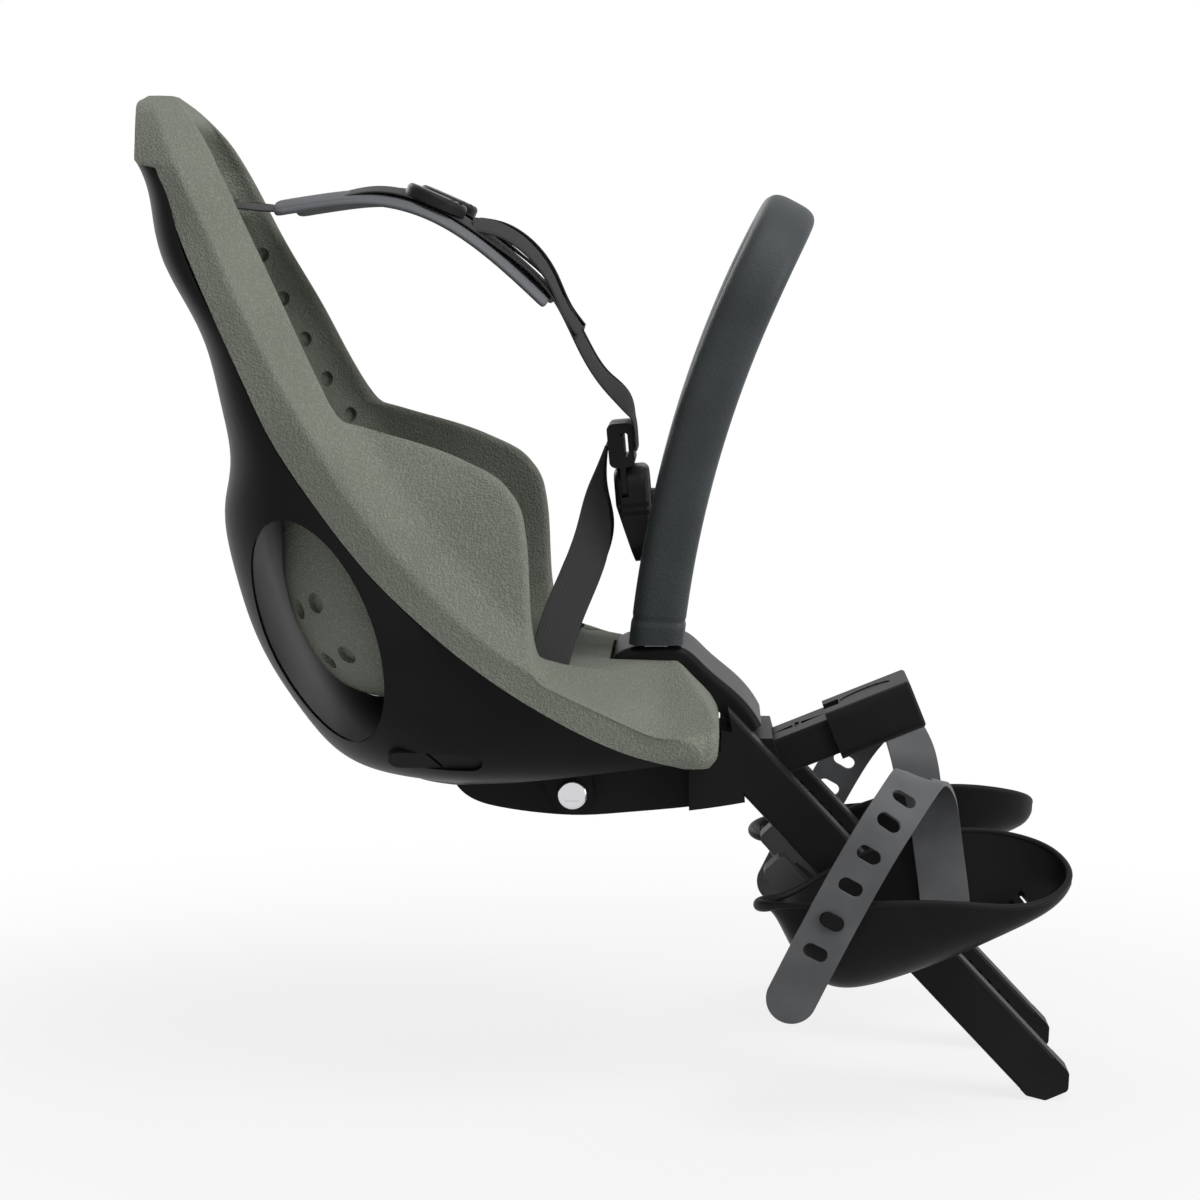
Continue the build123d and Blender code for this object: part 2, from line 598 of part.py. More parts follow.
def arch_face(inset):
    """Arch in the handle's front view, drawn in by an inset, with rounded shoulders."""
    slope = (HOOP_TOP_SPREAD - HOOP_FOOT_SPREAD) / HOOP_SHOULDER
    reach = PAD_WIDTH / 2 - inset
    low = -REACH / 2
    top = HOOP_HEIGHT - inset
    foot_half = HOOP_FOOT_SPREAD + slope * low + reach
    top_half = HOOP_FOOT_SPREAD + slope * HOOP_SHOULDER + reach
    outline = make_face(Polyline(
        (-foot_half, low), (-top_half, HOOP_SHOULDER), (-top_half, top), (top_half, top),
        (top_half, HOOP_SHOULDER), (foot_half, low), close=True))
    corners = outline.vertices().group_by(Axis.Y)[-1]
    return fillet(corners, HOOP_ROUND * (HOOP_HEIGHT - HOOP_SHOULDER) - inset)


def handle_pad():
    """Padded cover of the hoop, hollow for its core, with rounded edges."""
    pad = hoop(PAD_DEPTH, PAD_WIDTH, PAD_FOOT)
    flat = pad.faces().sort_by(Axis.Z)[:2]
    feet = [edge for face in flat for edge in face.edges()]
    sides = [edge for edge in pad.edges() if not any(edge.is_same(foot) for foot in feet)]
    pad = fillet(sides, PAD_EDGE)
    return pad - core_socket()


def core_socket():
    """Room for the handle's core, with a gap all round."""
    return hoop(CORE_SIZE + 2 * SEAT_GAP, CORE_SIZE + 2 * SEAT_GAP, -REACH)


def handle_core():
    """Hoop tube inside the pad, planted on the base."""
    core = hoop(CORE_SIZE, CORE_SIZE, -REACH)
    return core - extrude(floor_plane() * Rectangle(6 * REACH, 2 * REACH), amount=-REACH)


def rounded_bar(length, height, thickness, edge):
    """Bar along X with its four long edges rounded."""
    bar = Box(length, height, thickness)
    return fillet(bar.edges().filter_by(Axis.X), edge)


def mount_arm():
    """Box arm with arrow recesses and a cross slot on top, on a yoke that spans the gap between the legs."""
    plane = arm_plane()
    bar = rounded_bar(ARM_ROOT - ARM_TIP, ARM_HEIGHT, 2 * ARM_HALF_WIDTH, ARM_EDGE)
    bar = Pos(-(ARM_ROOT + ARM_TIP) / 2, 0, 0) * bar
    top = Plane((-ARROW_PLACE, ARM_HEIGHT / 2, 0), x_dir=(1, 0, 0), z_dir=(0, 1, 0))
    half = ARROW_WIDTH / 2
    tip = ARROW_SLOT + ARROW_LENGTH
    arrow = make_face(Polyline((ARROW_SLOT, -half), (tip, 0), (ARROW_SLOT, half), close=True))
    marks = arrow + mirror(arrow, about=Plane.YZ) + Rectangle(ARROW_SLOT, 2 * ARROW_WIDTH)
    bar -= extrude(top * marks, amount=-ARROW_DEPTH)
    half = LEG_CENTRE - LEG_THICKNESS / 2 - SEAT_GAP
    x, z = SEAM_FOOT
    yoke = side_prism(Polyline(side_points([
        (SEAM_TOP[0], SEAM_TOP[1] - YOKE_EDGE), (SEAM_TOP[0] + YOKE_FRONT, SEAM_TOP[1] - YOKE_EDGE),
        (x + YOKE_FRONT, z + YOKE_EDGE), (x + YOKE_FRONT - YOKE_EDGE, z), SEAM_FOOT,
    ]), close=True), -half, half)
    return (plane * bar + yoke) - seam_tool()


def arm_sleeve():
    """Sleeve that slides on the arm, closed at its end, with a thumb notch and a dip."""
    height = ARM_HEIGHT + 2 * (SLIDE_GAP + SLEEVE_WALL)
    width = 2 * (ARM_HALF_WIDTH + SLIDE_GAP + SLEEVE_WALL)
    body = Pos(-SLEEVE_LENGTH / 2, 0, 0) * Box(SLEEVE_LENGTH, height, width)
    body = fillet(body.edges().filter_by(Axis.X), SLEEVE_EDGE)
    body = fillet(body.edges().group_by(Axis.X)[-1], SLEEVE_TIP_EDGE)
    bore = Box(SLEEVE_LENGTH, height - 2 * SLEEVE_WALL, width - 2 * SLEEVE_WALL)
    body -= Pos(-SLEEVE_LENGTH / 2 - SLEEVE_END, 0, 0) * bore
    notch = Pos(-SLEEVE_LENGTH, height / 2, 0) * Box(2 * SLEEVE_NOTCH_LENGTH, height / 2, SLEEVE_NOTCH_WIDTH)
    length, breadth, depth = SLEEVE_DIP
    top = Plane((-SLEEVE_LENGTH / 2, height / 2, 0), x_dir=(1, 0, 0), z_dir=(0, 1, 0))
    dip = extrude(top * Ellipse(length / 2, breadth / 2), amount=-depth)
    return arm_plane() * (body - [notch, dip])


def leg():
    """Right leg: a box bar with a scalloped rack in a channel of its inner face."""
    bar = Pos(LEG_LENGTH / 2, 0, LEG_CENTRE) * rounded_bar(LEG_LENGTH, LEG_WIDTH, LEG_THICKNESS, LEG_EDGE)
    length = RACK_PITCH * RACK_TEETH
    foot = LEG_LENGTH - RACK_START
    channel = Pos(foot - length / 2, RACK_SHIFT) * SlotOverall(length + RACK_PITCH, RACK_WIDTH)
    for tooth in range(RACK_TEETH):
        place = foot - RACK_PITCH * (tooth + 0.5)
        channel += Pos(place, RACK_SHIFT + RACK_WIDTH / 2) * Circle(RACK_SCALLOP)
    face = LEG_CENTRE - LEG_THICKNESS / 2
    bar -= extrude(Pos(0, 0, face) * channel, amount=RACK_DEPTH)
    return (leg_plane() * bar) - seam_tool()


def leg_cap():
    """Rounded end cap of the right leg."""
    half = LEG_WIDTH / 2
    outline = make_face(Polyline(
        (0, -half), (CAP_HEEL, -half), (CAP_BEND, -CAP_TIP_DROP), (CAP_LENGTH, CAP_TIP_RISE),
        (CAP_SHOULDER, half), (0, half), close=True))
    outline = fillet(outline.vertices().sort_by(Axis.X)[-4:], CAP_ROUND)
    cap = extrude(Pos(0, 0, LEG_CENTRE - LEG_THICKNESS / 2) * outline, amount=LEG_THICKNESS)
    bore = Pos(*PIN_PLACE, LEG_CENTRE) * Cylinder(PIN_RADIUS + PIN_GAP, 2 * LEG_THICKNESS)
    return leg_plane() * Pos(LEG_LENGTH, 0, 0) * (cap - bore)


def cap_pin():
    """Pin through the right leg's cap."""
    pin = Cylinder(PIN_RADIUS, LEG_THICKNESS)
    return leg_plane() * Pos(LEG_LENGTH + PIN_PLACE[0], PIN_PLACE[1], LEG_CENTRE) * pin


def cup_section(x, outer_side, outer_height, sole_side, sole_height, inner_side, inner_height, inset, lift):
    """Upright section of a foot cup: a round belly from the outer rim, under the sole, to the inner rim."""
    outer = (x, -outer_side + inset, outer_height)
    inner = (x, -inner_side - inset, inner_height)
    sole = (x, -sole_side, sole_height + inset)
    belly = Spline(outer, sole, inner, tangents=[(0, 0.25, -1), (0, 0.25, 1)])
    lid = Polyline(inner, (x, inner[1], inner[2] + lift), (x, outer[1], outer[2] + lift), outer)
    return make_face([belly, lid])


def foot_cup():
    """Right foot cup with its carriage round the leg, lugs for the lever and a peg for the strap."""
    solid = loft([cup_section(*section, 0.0, CUP_LIP) for section in CUP_SECTIONS])
    shifts = [CUP_WALL] + [0.0] * (len(CUP_SECTIONS) - 2) + [-CUP_WALL]
    hollow = loft([
        cup_section(section[0] + shift, *section[1:], CUP_WALL, 4 * CUP_WALL)
        for section, shift in zip(CUP_SECTIONS, shifts)
    ])
    return solid + (leg_plane() * carriage()) - [hollow, *toe_slots()] + strap_peg()


def toe_slots():
    """Row of curved drain slots in the right cup's toe floor."""
    x, y = TOE_CENTRE
    slots = []
    for radius in TOE_RADII:
        ring = Circle(radius + TOE_SLOT / 2) - Circle(radius - TOE_SLOT / 2)
        half = radius * tan(radians(TOE_ANGLE))
        fan = make_face(Polyline((0, 0), (radius, -half), (2 * radius, 0), (radius, half), close=True))
        slots.append(Pos(x, -y, -REACH) * extrude(ring & fan, amount=REACH))
    return slots


def carriage():
    """Box that slides on the right leg, with two lugs for the lever, in the leg's plane."""
    inner = LEG_CENTRE - LEG_THICKNESS / 2 - SLIDE_GAP
    outer = LEG_CENTRE + LEG_THICKNESS / 2 + SLIDE_GAP
    low = inner - CARRIAGE_WALL
    way = LEG_WIDTH + 2 * SLIDE_GAP
    block = Box(CARRIAGE_LENGTH, way + 2 * CARRIAGE_WALL, CARRIAGE_SIDE - low)
    frame = Pos(CARRIAGE_PLACE, 0, (low + CARRIAGE_SIDE) / 2) * block
    for middle in lug_middles():
        frame += Pos(LEVER_PIVOT[0], 0, middle) * lever_lug()
    frame -= Pos(CARRIAGE_PLACE, 0, (inner + outer) / 2) * Box(2 * CARRIAGE_LENGTH, way, outer - inner)
    pin = Cylinder(LEVER_PIN_RADIUS + PIN_GAP, 2 * LEG_THICKNESS)
    return frame - Pos(*LEVER_PIVOT, LEG_CENTRE) * pin


def lug_middles():
    """Middles of the two lever lugs across the leg."""
    return (LEG_CENTRE - LUG_SPAN / 2 - LUG_THICKNESS / 2, LEG_CENTRE + LUG_SPAN / 2 + LUG_THICKNESS / 2)


def lever_lug():
    """Lug under the carriage, round the lever's pin."""
    root = -LEG_WIDTH / 2 - SLIDE_GAP - CARRIAGE_WALL / 2
    outline = Pos(0, LEVER_PIVOT[1]) * Circle(LEVER_BARREL)
    outline += Pos(0, (root + LEVER_PIVOT[1]) / 2) * Rectangle(2 * LEVER_BARREL, root - LEVER_PIVOT[1])
    return extrude(outline, amount=LUG_THICKNESS / 2, both=True)


def strap_side():
    """Side of the strap's outer run, as a distance from the middle."""
    return STRAP_ROUTE[-1][0][1]


def strap_peg():
    """Headed peg on the right cup's outer wall, which the strap buttons onto."""
    face = outer_run(PEG_PLACE).offset(STRAP_THICKNESS / 2 + SEAT_GAP)
    neck = extrude(face * SlotOverall(PEG_LENGTH, PEG_HEIGHT), amount=-PEG_NECK)
    head = SlotOverall(PEG_LENGTH + PEG_HEAD_RIM, PEG_HEIGHT + PEG_HEAD_RIM)
    return neck + extrude(face * head, amount=PEG_HEAD)


def foot_strap():
    """Right foot strap with its row of slotted holes and a round tail."""
    strap = ribbon(right_side(STRAP_ROUTE), STRAP_WIDTH, STRAP_THICKNESS)
    places = [outer_run(place) for place in STRAP_HOLES] + [strap_bend(index) for index in STRAP_BENDS]
    hole = SlotOverall(STRAP_HOLE_LENGTH, STRAP_HOLE_HEIGHT)
    corners = Pos(0, -STRAP_WIDTH) * Rectangle(2 * STRAP_WIDTH, 2 * STRAP_WIDTH) - Circle(STRAP_WIDTH / 2)
    cuts = [extrude(place * hole, amount=STRAP_BORE, both=True) for place in places]
    cuts.append(extrude(outer_run(STRAP_TAIL) * corners, amount=STRAP_BORE, both=True))
    return strap - cuts


def outer_run(place):
    """Plane on the strap's outer run at a place of the side view, with X across the strap and Z outwards."""
    lean = radians(STRAP_LEAN)
    return Plane((place[0], -strap_side(), place[1]), x_dir=(cos(lean), 0, -sin(lean)), z_dir=(0, -1, 0))


def strap_bend(index):
    """Plane in the middle between a station of the right strap and the next, with X across the strap."""
    (start, across), (end, _) = right_side(STRAP_ROUTE)[index:index + 2]
    along = Vector(*end) - Vector(*start)
    return Plane((Vector(*start) + Vector(*end)) / 2, x_dir=across, z_dir=along.cross(Vector(*across)))


def foot_lever():
    """Right release lever: a barrel on its pin, an arm up the leg and a finger block."""
    x, y = LEVER_PIVOT
    pivot = Pos(x, y)
    barrel = pivot * Circle(LEVER_BARREL)
    height = LEVER_BLOCK_TOP - LEVER_BLOCK_FOOT
    middle = (LEVER_BLOCK_TOP + LEVER_BLOCK_FOOT) / 2
    root = LEVER_TIP + LEVER_BLOCK - LEVER_ARM_LAP
    arm = make_face(Polyline(
        (x, y + LEVER_BARREL / 2), (x, y - LEVER_BARREL), (root, LEVER_BLOCK_FOOT + LEVER_ARM_DROP),
        (root, LEVER_BLOCK_TOP - LEVER_ARM_LAP), close=True))
    block = Pos(LEVER_TIP + LEVER_BLOCK / 2, middle) * RectangleRounded(LEVER_BLOCK, height, LEVER_ROUND)
    narrow = extrude(Pos(0, 0, LEG_CENTRE) * (barrel + arm), amount=LUG_SPAN / 2 - SLIDE_GAP, both=True)
    wide = extrude(Pos(0, 0, LEG_CENTRE) * block, amount=LEVER_WIDTH / 2, both=True)
    bore = pivot * Pos(0, 0, LEG_CENTRE) * Cylinder(LEVER_PIN_RADIUS + PIN_GAP, LEG_THICKNESS)
    return leg_plane() * (narrow + wide - bore)


def lever_pin():
    """Pin of the right lever, through both lugs."""
    length = LUG_SPAN + 2 * LUG_THICKNESS
    return leg_plane() * Pos(*LEVER_PIVOT, LEG_CENTRE) * Cylinder(LEVER_PIN_RADIUS, length)


def hip_anchor():
    """Split anchor in the shell's right slot: an oval with a slanted groove."""
    plane = anchor_plane()
    oval = SlotOverall(ANCHOR_LENGTH - 2 * SEAT_GAP, ANCHOR_HEIGHT - 2 * SEAT_GAP)
    solid = extrude(oval, amount=-ANCHOR_THICKNESS)
    groove = Rot(0, 0, ANCHOR_GROOVE_TURN) * Box(ANCHOR_GROOVE, 2 * ANCHOR_HEIGHT, ANCHOR_THICKNESS)
    return plane * (solid - groove)


def shoulder_pad():
    """Right shoulder pad, a flat bent cushion under the webbing."""
    return ribbon(level_band(pad_line()), SHOULDER_PAD_WIDTH, SHOULDER_PAD_THICKNESS)


def pad_line():
    """Middle line of the shoulder pad, at the height that the slot gives it."""
    return [(x, y, SLOT_HEIGHT + rise) for x, y, rise in PAD_ROUTE]


def level_band(points):
    """Stations on the child's right of a band whose width lies level."""
    return [((x, -y, z), (0, 1, 0)) for x, y, z in points]


def lifted_route():
    """Middle line of the webbing where it lies on the shoulder pad."""
    line = pad_line()
    lifted = []
    for index, (x, y, z) in enumerate(line):
        before = line[max(index - 1, 0)]
        after = line[min(index + 1, len(line) - 1)]
        angle = atan2(after[2] - before[2], after[0] - before[0])
        lifted.append((x - WEB_LIFT * sin(angle), y, z + WEB_LIFT * cos(angle)))
    return lifted


def shoulder_webbing():
    """Right shoulder strap from its slot in the back, over the pad, down to the tongue."""
    x, rise = WEB_MOUTH
    points = [(slot_back() - 2 * SEAT_GAP, WEB_SPREAD, SLOT_HEIGHT), (x, WEB_SPREAD, SLOT_HEIGHT + rise)]
    points += lifted_route()
    x, y, rise = WEB_FALL
    points.append((x, y, SLOT_HEIGHT + rise))
    front = tongue_shift() + LOOP_DEPTH / 2 + WEB_THICKNESS / 2 + SEAT_GAP
    top = loop_foot() + LOOP_HEIGHT
    for height in (top + WEB_LANDING, top - LOOP_ROUND, top - LOOP_ROUND - WEB_LANDING):
        place = buckle_plane().from_local_coords((WEB_WIDTH / 2 + TONGUE_GAP, height, front))
        points.append((place.X, place.Y, place.Z))
    return ribbon(level_band(points), WEB_WIDTH, WEB_THICKNESS)


def strap_slider():
    """Right length adjuster: an oval plate with two bars, on side walls that the webbing runs between."""
    points = lifted_route()
    x, y, z = points[SLIDER_PLACE]
    before = points[SLIDER_PLACE - 1]
    after = points[SLIDER_PLACE + 1]
    along = Vector(after[0] - before[0], 0, after[2] - before[2])
    plane = Plane((x, -y, z), x_dir=along, z_dir=(-along.Z, 0, along.X))
    low = -WEB_LIFT + SHOULDER_PAD_THICKNESS / 2 + SEAT_GAP
    outline = RectangleRounded(SLIDER_LENGTH, SLIDER_WIDTH, SLIDER_WIDTH / 2 - SLIDE_GAP)
    body = extrude(Pos(0, 0, low) * outline, amount=SLIDER_THICKNESS)
    body = fillet(body.edges().group_by(Axis.Z)[-1], SLIDER_CROWN)
    for place in SLIDER_BARS:
        body -= Pos(place, 0, SLIDER_THICKNESS) * Box(SLIDER_SLOT, SLIDER_WIDTH / 2, 2 * SLIDER_THICKNESS)
    way = ribbon(level_band(lifted_route()), WEB_WIDTH + 2 * SLIDE_GAP, WEB_THICKNESS + 2 * SLIDE_GAP)
    return (plane * body) - way


def buckle_plane():
    """Plane of the buckle's front: X to the left, Y up the buckle, Z forwards."""
    lean = radians(BUCKLE_LEAN)
    return Plane((BUCKLE_FOOT[0], 0, BUCKLE_FOOT[1]), x_dir=(0, 1, 0), z_dir=(cos(lean), 0, -sin(lean)))


def buckle_body():
    """Buckle housing: rounded, with a well for the button and sockets for both tongues."""
    outline = Pos(0, BUCKLE_HEIGHT / 2) * RectangleRounded(BUCKLE_WIDTH, BUCKLE_HEIGHT, BUCKLE_WIDTH / 4)
    body = extrude(outline, amount=BUCKLE_DEPTH / 2, both=True)
    rims = body.edges().group_by(Axis.Z)
    body = fillet(rims[0] + rims[-1], BUCKLE_EDGE)
    well = RectangleRounded(BUTTON_WIDTH + 2 * SLIDE_GAP, BUTTON_HEIGHT + 2 * SLIDE_GAP, BUTTON_WIDTH / 4)
    floor = BUCKLE_DEPTH / 2 + BUTTON_PROUD - BUTTON_DEPTH - BUTTON_TRAVEL - SLIDE_GAP
    body -= extrude(Pos(0, BUCKLE_HEIGHT / 2, floor) * well, amount=BUCKLE_DEPTH)
    for side in (-TONGUE_SPREAD, TONGUE_SPREAD):
        socket = Box(TONGUE_WIDTH + 2 * SEAT_GAP, 2 * TONGUE_DEPTH, TONGUE_THICKNESS + 2 * SEAT_GAP)
        body -= Pos(side, BUCKLE_HEIGHT, tongue_shift()) * socket
    for height in GRIP_HEIGHTS:
        for side in (-BUCKLE_WIDTH / 2, BUCKLE_WIDTH / 2):
            body -= Pos(side, height, 0) * Box(2 * GRIP_DEPTH, GRIP_WIDTH, BUCKLE_DEPTH)
    depth, height = BUCKLE_TAPER
    rear = -BUCKLE_DEPTH / 2
    wedge = make_face(Polyline((rear, 0), (rear + depth, 0), (rear, height), close=True))
    across = Plane((-BUCKLE_WIDTH / 2, 0, 0), x_dir=(0, 0, 1), z_dir=(-1, 0, 0))
    return buckle_plane() * (body - extrude(across * wedge, amount=-BUCKLE_WIDTH))


def tongue_shift():
    """Place of the tongues in the buckle's depth, behind the button's well."""
    return -BUCKLE_DEPTH / 2 + BUCKLE_EDGE + TONGUE_THICKNESS / 2


def buckle_button():
    """Push button in the front of the buckle."""
    start = BUCKLE_DEPTH / 2 + BUTTON_PROUD - BUTTON_DEPTH
    outline = RectangleRounded(BUTTON_WIDTH, BUTTON_HEIGHT, BUTTON_WIDTH / 4)
    button = extrude(Pos(0, BUCKLE_HEIGHT / 2, start) * outline, amount=BUTTON_DEPTH)
    return buckle_plane() * fillet(button.edges().group_by(Axis.Z)[-1], BUTTON_PROUD / 2)


def buckle_tongue():
    """Right tongue: a plate in the buckle's socket under a deep loop, with a window behind its front bar."""
    foot = BUCKLE_HEIGHT - TONGUE_DEPTH + SEAT_GAP
    outline = RectangleRounded(TONGUE_WIDTH, TONGUE_LENGTH, TONGUE_ROUND)
    place = Pos(-TONGUE_SPREAD, foot + TONGUE_LENGTH / 2, tongue_shift())
    plate = extrude(place * outline, amount=TONGUE_THICKNESS / 2, both=True)
    depth, height = LOOP_WINDOW
    side = RectangleRounded(LOOP_DEPTH, LOOP_HEIGHT, LOOP_ROUND)
    side -= Pos(LOOP_DEPTH / 2 - LOOP_BAR - depth / 2, 0) * RectangleRounded(depth, height, depth / 3)
    middle = loop_foot() + LOOP_HEIGHT / 2
    across = Plane((-TONGUE_SPREAD, middle, tongue_shift()), x_dir=(0, 0, 1), z_dir=(-1, 0, 0))
    return buckle_plane() * (plate + extrude(across * side, amount=TONGUE_WIDTH / 2, both=True))


def loop_foot():
    """Height of the tongue loops' underside above the buckle's foot."""
    return BUCKLE_HEIGHT + SEAT_GAP


def hip_webbing():
    """Right hip strap, from the tongue down and out to its slot in the liner, turning as it goes."""
    rear = tongue_shift() - LOOP_DEPTH / 2 - WEB_THICKNESS / 2 - SEAT_GAP
    middle = loop_foot() + LOOP_HEIGHT / 2
    start = buckle_plane().from_local_coords((HIP_WIDTH, middle, rear))
    route = [((start.X, start.Y, start.Z), (0, 1, 0))] + HIP_ROUTE
    return ribbon(right_side(route), HIP_WIDTH, WEB_THICKNESS)


def crotch_webbing():
    """Crotch strap from the console's slot up to the buckle's foot."""
    x, z = CROTCH_FOOT
    end = buckle_plane().from_local_coords((0, -SEAT_GAP, BUCKLE_TAPER[0] / 2))
    middle = ((x + end.X) / 2 + CROTCH_BOW, 0, (z + end.Z) / 2)
    return ribbon(level_band([(x, 0, z), middle, (end.X, 0, end.Z)]), WEB_WIDTH, WEB_THICKNESS)


def shoulder_anchor():
    """Plate behind the liner that the shoulder webbing is looped on."""
    lower, upper = slot_sections()
    slope = degrees(atan2(upper[1] - lower[1], upper[0] - lower[0]))
    plate = Pos(-PLATE_THICKNESS / 2 - SEAT_GAP, 0, 0) * Box(PLATE_THICKNESS, PLATE_LENGTH, PLATE_HEIGHT)
    return Pos(slot_back() - 2 * SEAT_GAP, 0, SLOT_HEIGHT) * Rot(0, slope, 0) * plate


def slot_sections():
    """Rim sections below and above the strap slots."""
    upper = next(section for section in RIM_SECTIONS if section[0] >= SLOT_HEIGHT)
    return RIM_SECTIONS[RIM_SECTIONS.index(upper) - 1], upper


def slot_back():
    """Fore-aft place of the liner's back at the strap slots."""
    lower, upper = slot_sections()
    share = (SLOT_HEIGHT - lower[0]) / (upper[0] - lower[0])
    return lower[1] + share * (upper[1] - lower[1])


def write(name, solid):
    """One file for each piece."""
    solid.label = name
    export_step(solid, f"parts/{name}.step")


def main():
    os.makedirs("parts", exist_ok=True)
    singles = [
        outer_shell, seat_liner, mount_base, lock_bolt, lock_nut, front_console, handle_pad,
        handle_core, mount_arm, arm_sleeve, buckle_body, buckle_button, crotch_webbing, shoulder_anchor,
    ]
    for make in singles:
        write(make.__name__, make())
    for number, screw in enumerate(base_screws(), start=1):
        write(f"base_screw_{number}", screw)
    pairs = [
        leg, leg_cap, cap_pin, foot_cup, foot_strap, foot_lever, lever_pin, hip_anchor, shoulder_pad,
        shoulder_webbing, strap_slider, buckle_tongue, hip_webbing,
    ]
    for make in pairs:
        right, left = both_sides(make())
        write(f"{make.__name__}_right", right)
        write(f"{make.__name__}_left", left)


main()
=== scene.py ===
import json
import math

import bpy
import numpy as np
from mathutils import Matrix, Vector


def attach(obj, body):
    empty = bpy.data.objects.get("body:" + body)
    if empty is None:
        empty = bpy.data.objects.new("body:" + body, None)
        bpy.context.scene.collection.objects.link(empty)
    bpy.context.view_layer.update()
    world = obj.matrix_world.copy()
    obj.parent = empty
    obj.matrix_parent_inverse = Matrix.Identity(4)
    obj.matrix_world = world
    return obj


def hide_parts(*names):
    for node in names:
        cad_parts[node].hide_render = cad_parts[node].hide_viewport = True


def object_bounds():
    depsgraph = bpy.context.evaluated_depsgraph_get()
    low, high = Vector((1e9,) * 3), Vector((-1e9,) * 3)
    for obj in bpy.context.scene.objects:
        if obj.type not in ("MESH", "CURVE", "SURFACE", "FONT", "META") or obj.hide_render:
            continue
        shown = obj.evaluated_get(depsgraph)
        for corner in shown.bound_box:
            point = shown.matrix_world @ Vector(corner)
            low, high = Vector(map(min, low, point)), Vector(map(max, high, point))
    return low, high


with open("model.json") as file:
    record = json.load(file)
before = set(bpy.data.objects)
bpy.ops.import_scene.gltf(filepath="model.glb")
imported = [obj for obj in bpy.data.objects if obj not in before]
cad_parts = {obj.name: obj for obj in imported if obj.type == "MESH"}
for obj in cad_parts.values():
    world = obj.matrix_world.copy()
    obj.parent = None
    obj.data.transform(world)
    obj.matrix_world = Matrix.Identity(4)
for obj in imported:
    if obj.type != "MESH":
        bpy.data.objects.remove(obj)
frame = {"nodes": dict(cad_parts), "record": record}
cad_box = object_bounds()
MM = 0.001


# Shapes, in millimetres: X forwards, Y to the child's left, Z up

# Rim of the foam liner: height, fore-aft place and half width of the shell's edge, of the ridge, of the
# end of the bevel, and the half width at the front
RIM = np.array([
    (-21, -126, 122, -118, 122.3, -112, 120, 118), (-16, -146, 125, -118, 125, -112, 121.5, 118),
    (-10, -163, 127, -119, 126.5, -112, 122, 118), (5, -193, 129, -150, 129.5, -128, 123, 117),
    (25, -225, 130, -196, 131, -172, 122, 113), (45, -251, 130, -228, 132, -203, 122, 118),
    (80, -288, 129, -266, 132, -237, 122, 118), (115, -316, 126, -295, 130, -267, 117, 116),
    (150, -340, 119, -318, 124, -292, 104, 106), (179, -355, 110, -336, 114, -310, 89, 90),
    (213, -372, 98, -355, 102, -327, 80, 80), (251, -390, 83, -374, 86, -347, 61, 61),
    (285, -403, 73, -391, 77, -364, 55, 55), (288.5, -405, 71, -392.5, 75, -366, 53, 53),
    (290.5, -415.5, 70, -394, 73.5, -367, 52, 52), (303, -416.5, 62, -400, 65, -373, 44, 44),
    (317, -418.5, 46, -407, 49, -384, 24, 24), (323.5, -420, 30.5, -410, 33, -393, 14, 14),
    (327.2, -416.5, 16, -410, 18, -401, 6, 6),
], float)
# Hollow for the child: height, rear, half width, depth and width of the rear corner
HOLLOW = np.array([
    (27, -262, 84, 40, 45), (31, -284, 96, 46, 50), (40, -302, 105, 50, 56), (55, -313, 110, 52, 60),
    (80, -319, 112, 50, 62), (115, -320, 109, 40, 54), (150, -330, 101, 27, 27), (179, -344.5, 90, 22, 18),
    (213, -361, 81, 20, 16), (251, -378, 63, 17, 14), (285, -392, 57, 15, 13), (303, -397.5, 46, 13, 13),
    (317, -403, 30, 9, 10), (327.5, -410, 12, 4, 6),
], float)
# Back of the liner's tub, seen through the shell's windows: the same columns as the hollow's
TUB = np.array([
    (9, -300, 88, 44, 50), (14, -310, 100, 50, 56), (24, -320, 110, 54, 58), (39, -329, 118, 56, 60),
    (57, -336, 122, 56, 60), (80, -340, 123, 52, 60), (115, -340, 120, 40, 58), (150, -342, 103, 24, 54),
    (190, -359, 84, 14, 46),
], float)
# Front edge of the liner in the side view, from the nose up to the top: height and fore-aft place
FRONT_EDGE = np.array([
    (-21, -113), (-15, -109), (-3, -108.2), (4.5, -111), (18, -123), (26, -131), (31, -138), (31.8, -150),
    (32.4, -165), (33, -180), (34.5, -190), (38, -197), (46, -203), (60, -205.5), (90, -207), (108, -209.5),
    (115, -212), (123, -217.5), (128, -222.5), (132, -229), (136, -237.5), (141, -249), (146, -264),
    (151, -282), (154.5, -294), (157, -303), (163, -308.5), (179, -317.7), (213, -334.6), (251, -354.6),
    (285, -371.5), (303, -381.5), (320, -395.5), (327.5, -404),
], float)
# Heights between which the hollow fades out into the crown
CROWN = (298.0, 318.0)
PAN_HEIGHT = 27.0
# Round of the foam's edge: its radius, its longest reach back on a slope, its least width, and its radius at the nose
FOAM_EDGE = 4.0
EDGE_REACH = 20.0
EDGE_WIDTH = 2.0
NOSE_EDGE = FOAM_EDGE * 1.6
# Foremost place of the nose, and the least runs in front of the bevel, on the bevel and on the flank
NOSE = -108.0
LEAST_FRONT = 2.0
LEAST_RUN = 1.0
# Softness of the rim's bends at the ridge and at the end of the bevel
RIDGE_SOFTNESS = 0.8
BEVEL_SOFTNESS = 4.0
# Step from the rim to the liner's back, behind the shell's edge
STEP_FORWARDS = 0.5
STEP_INWARDS = 1.0
# Notch under the console
NOTCH_HALF_WIDTH = 42.0
NOTCH_REAR = -167.0
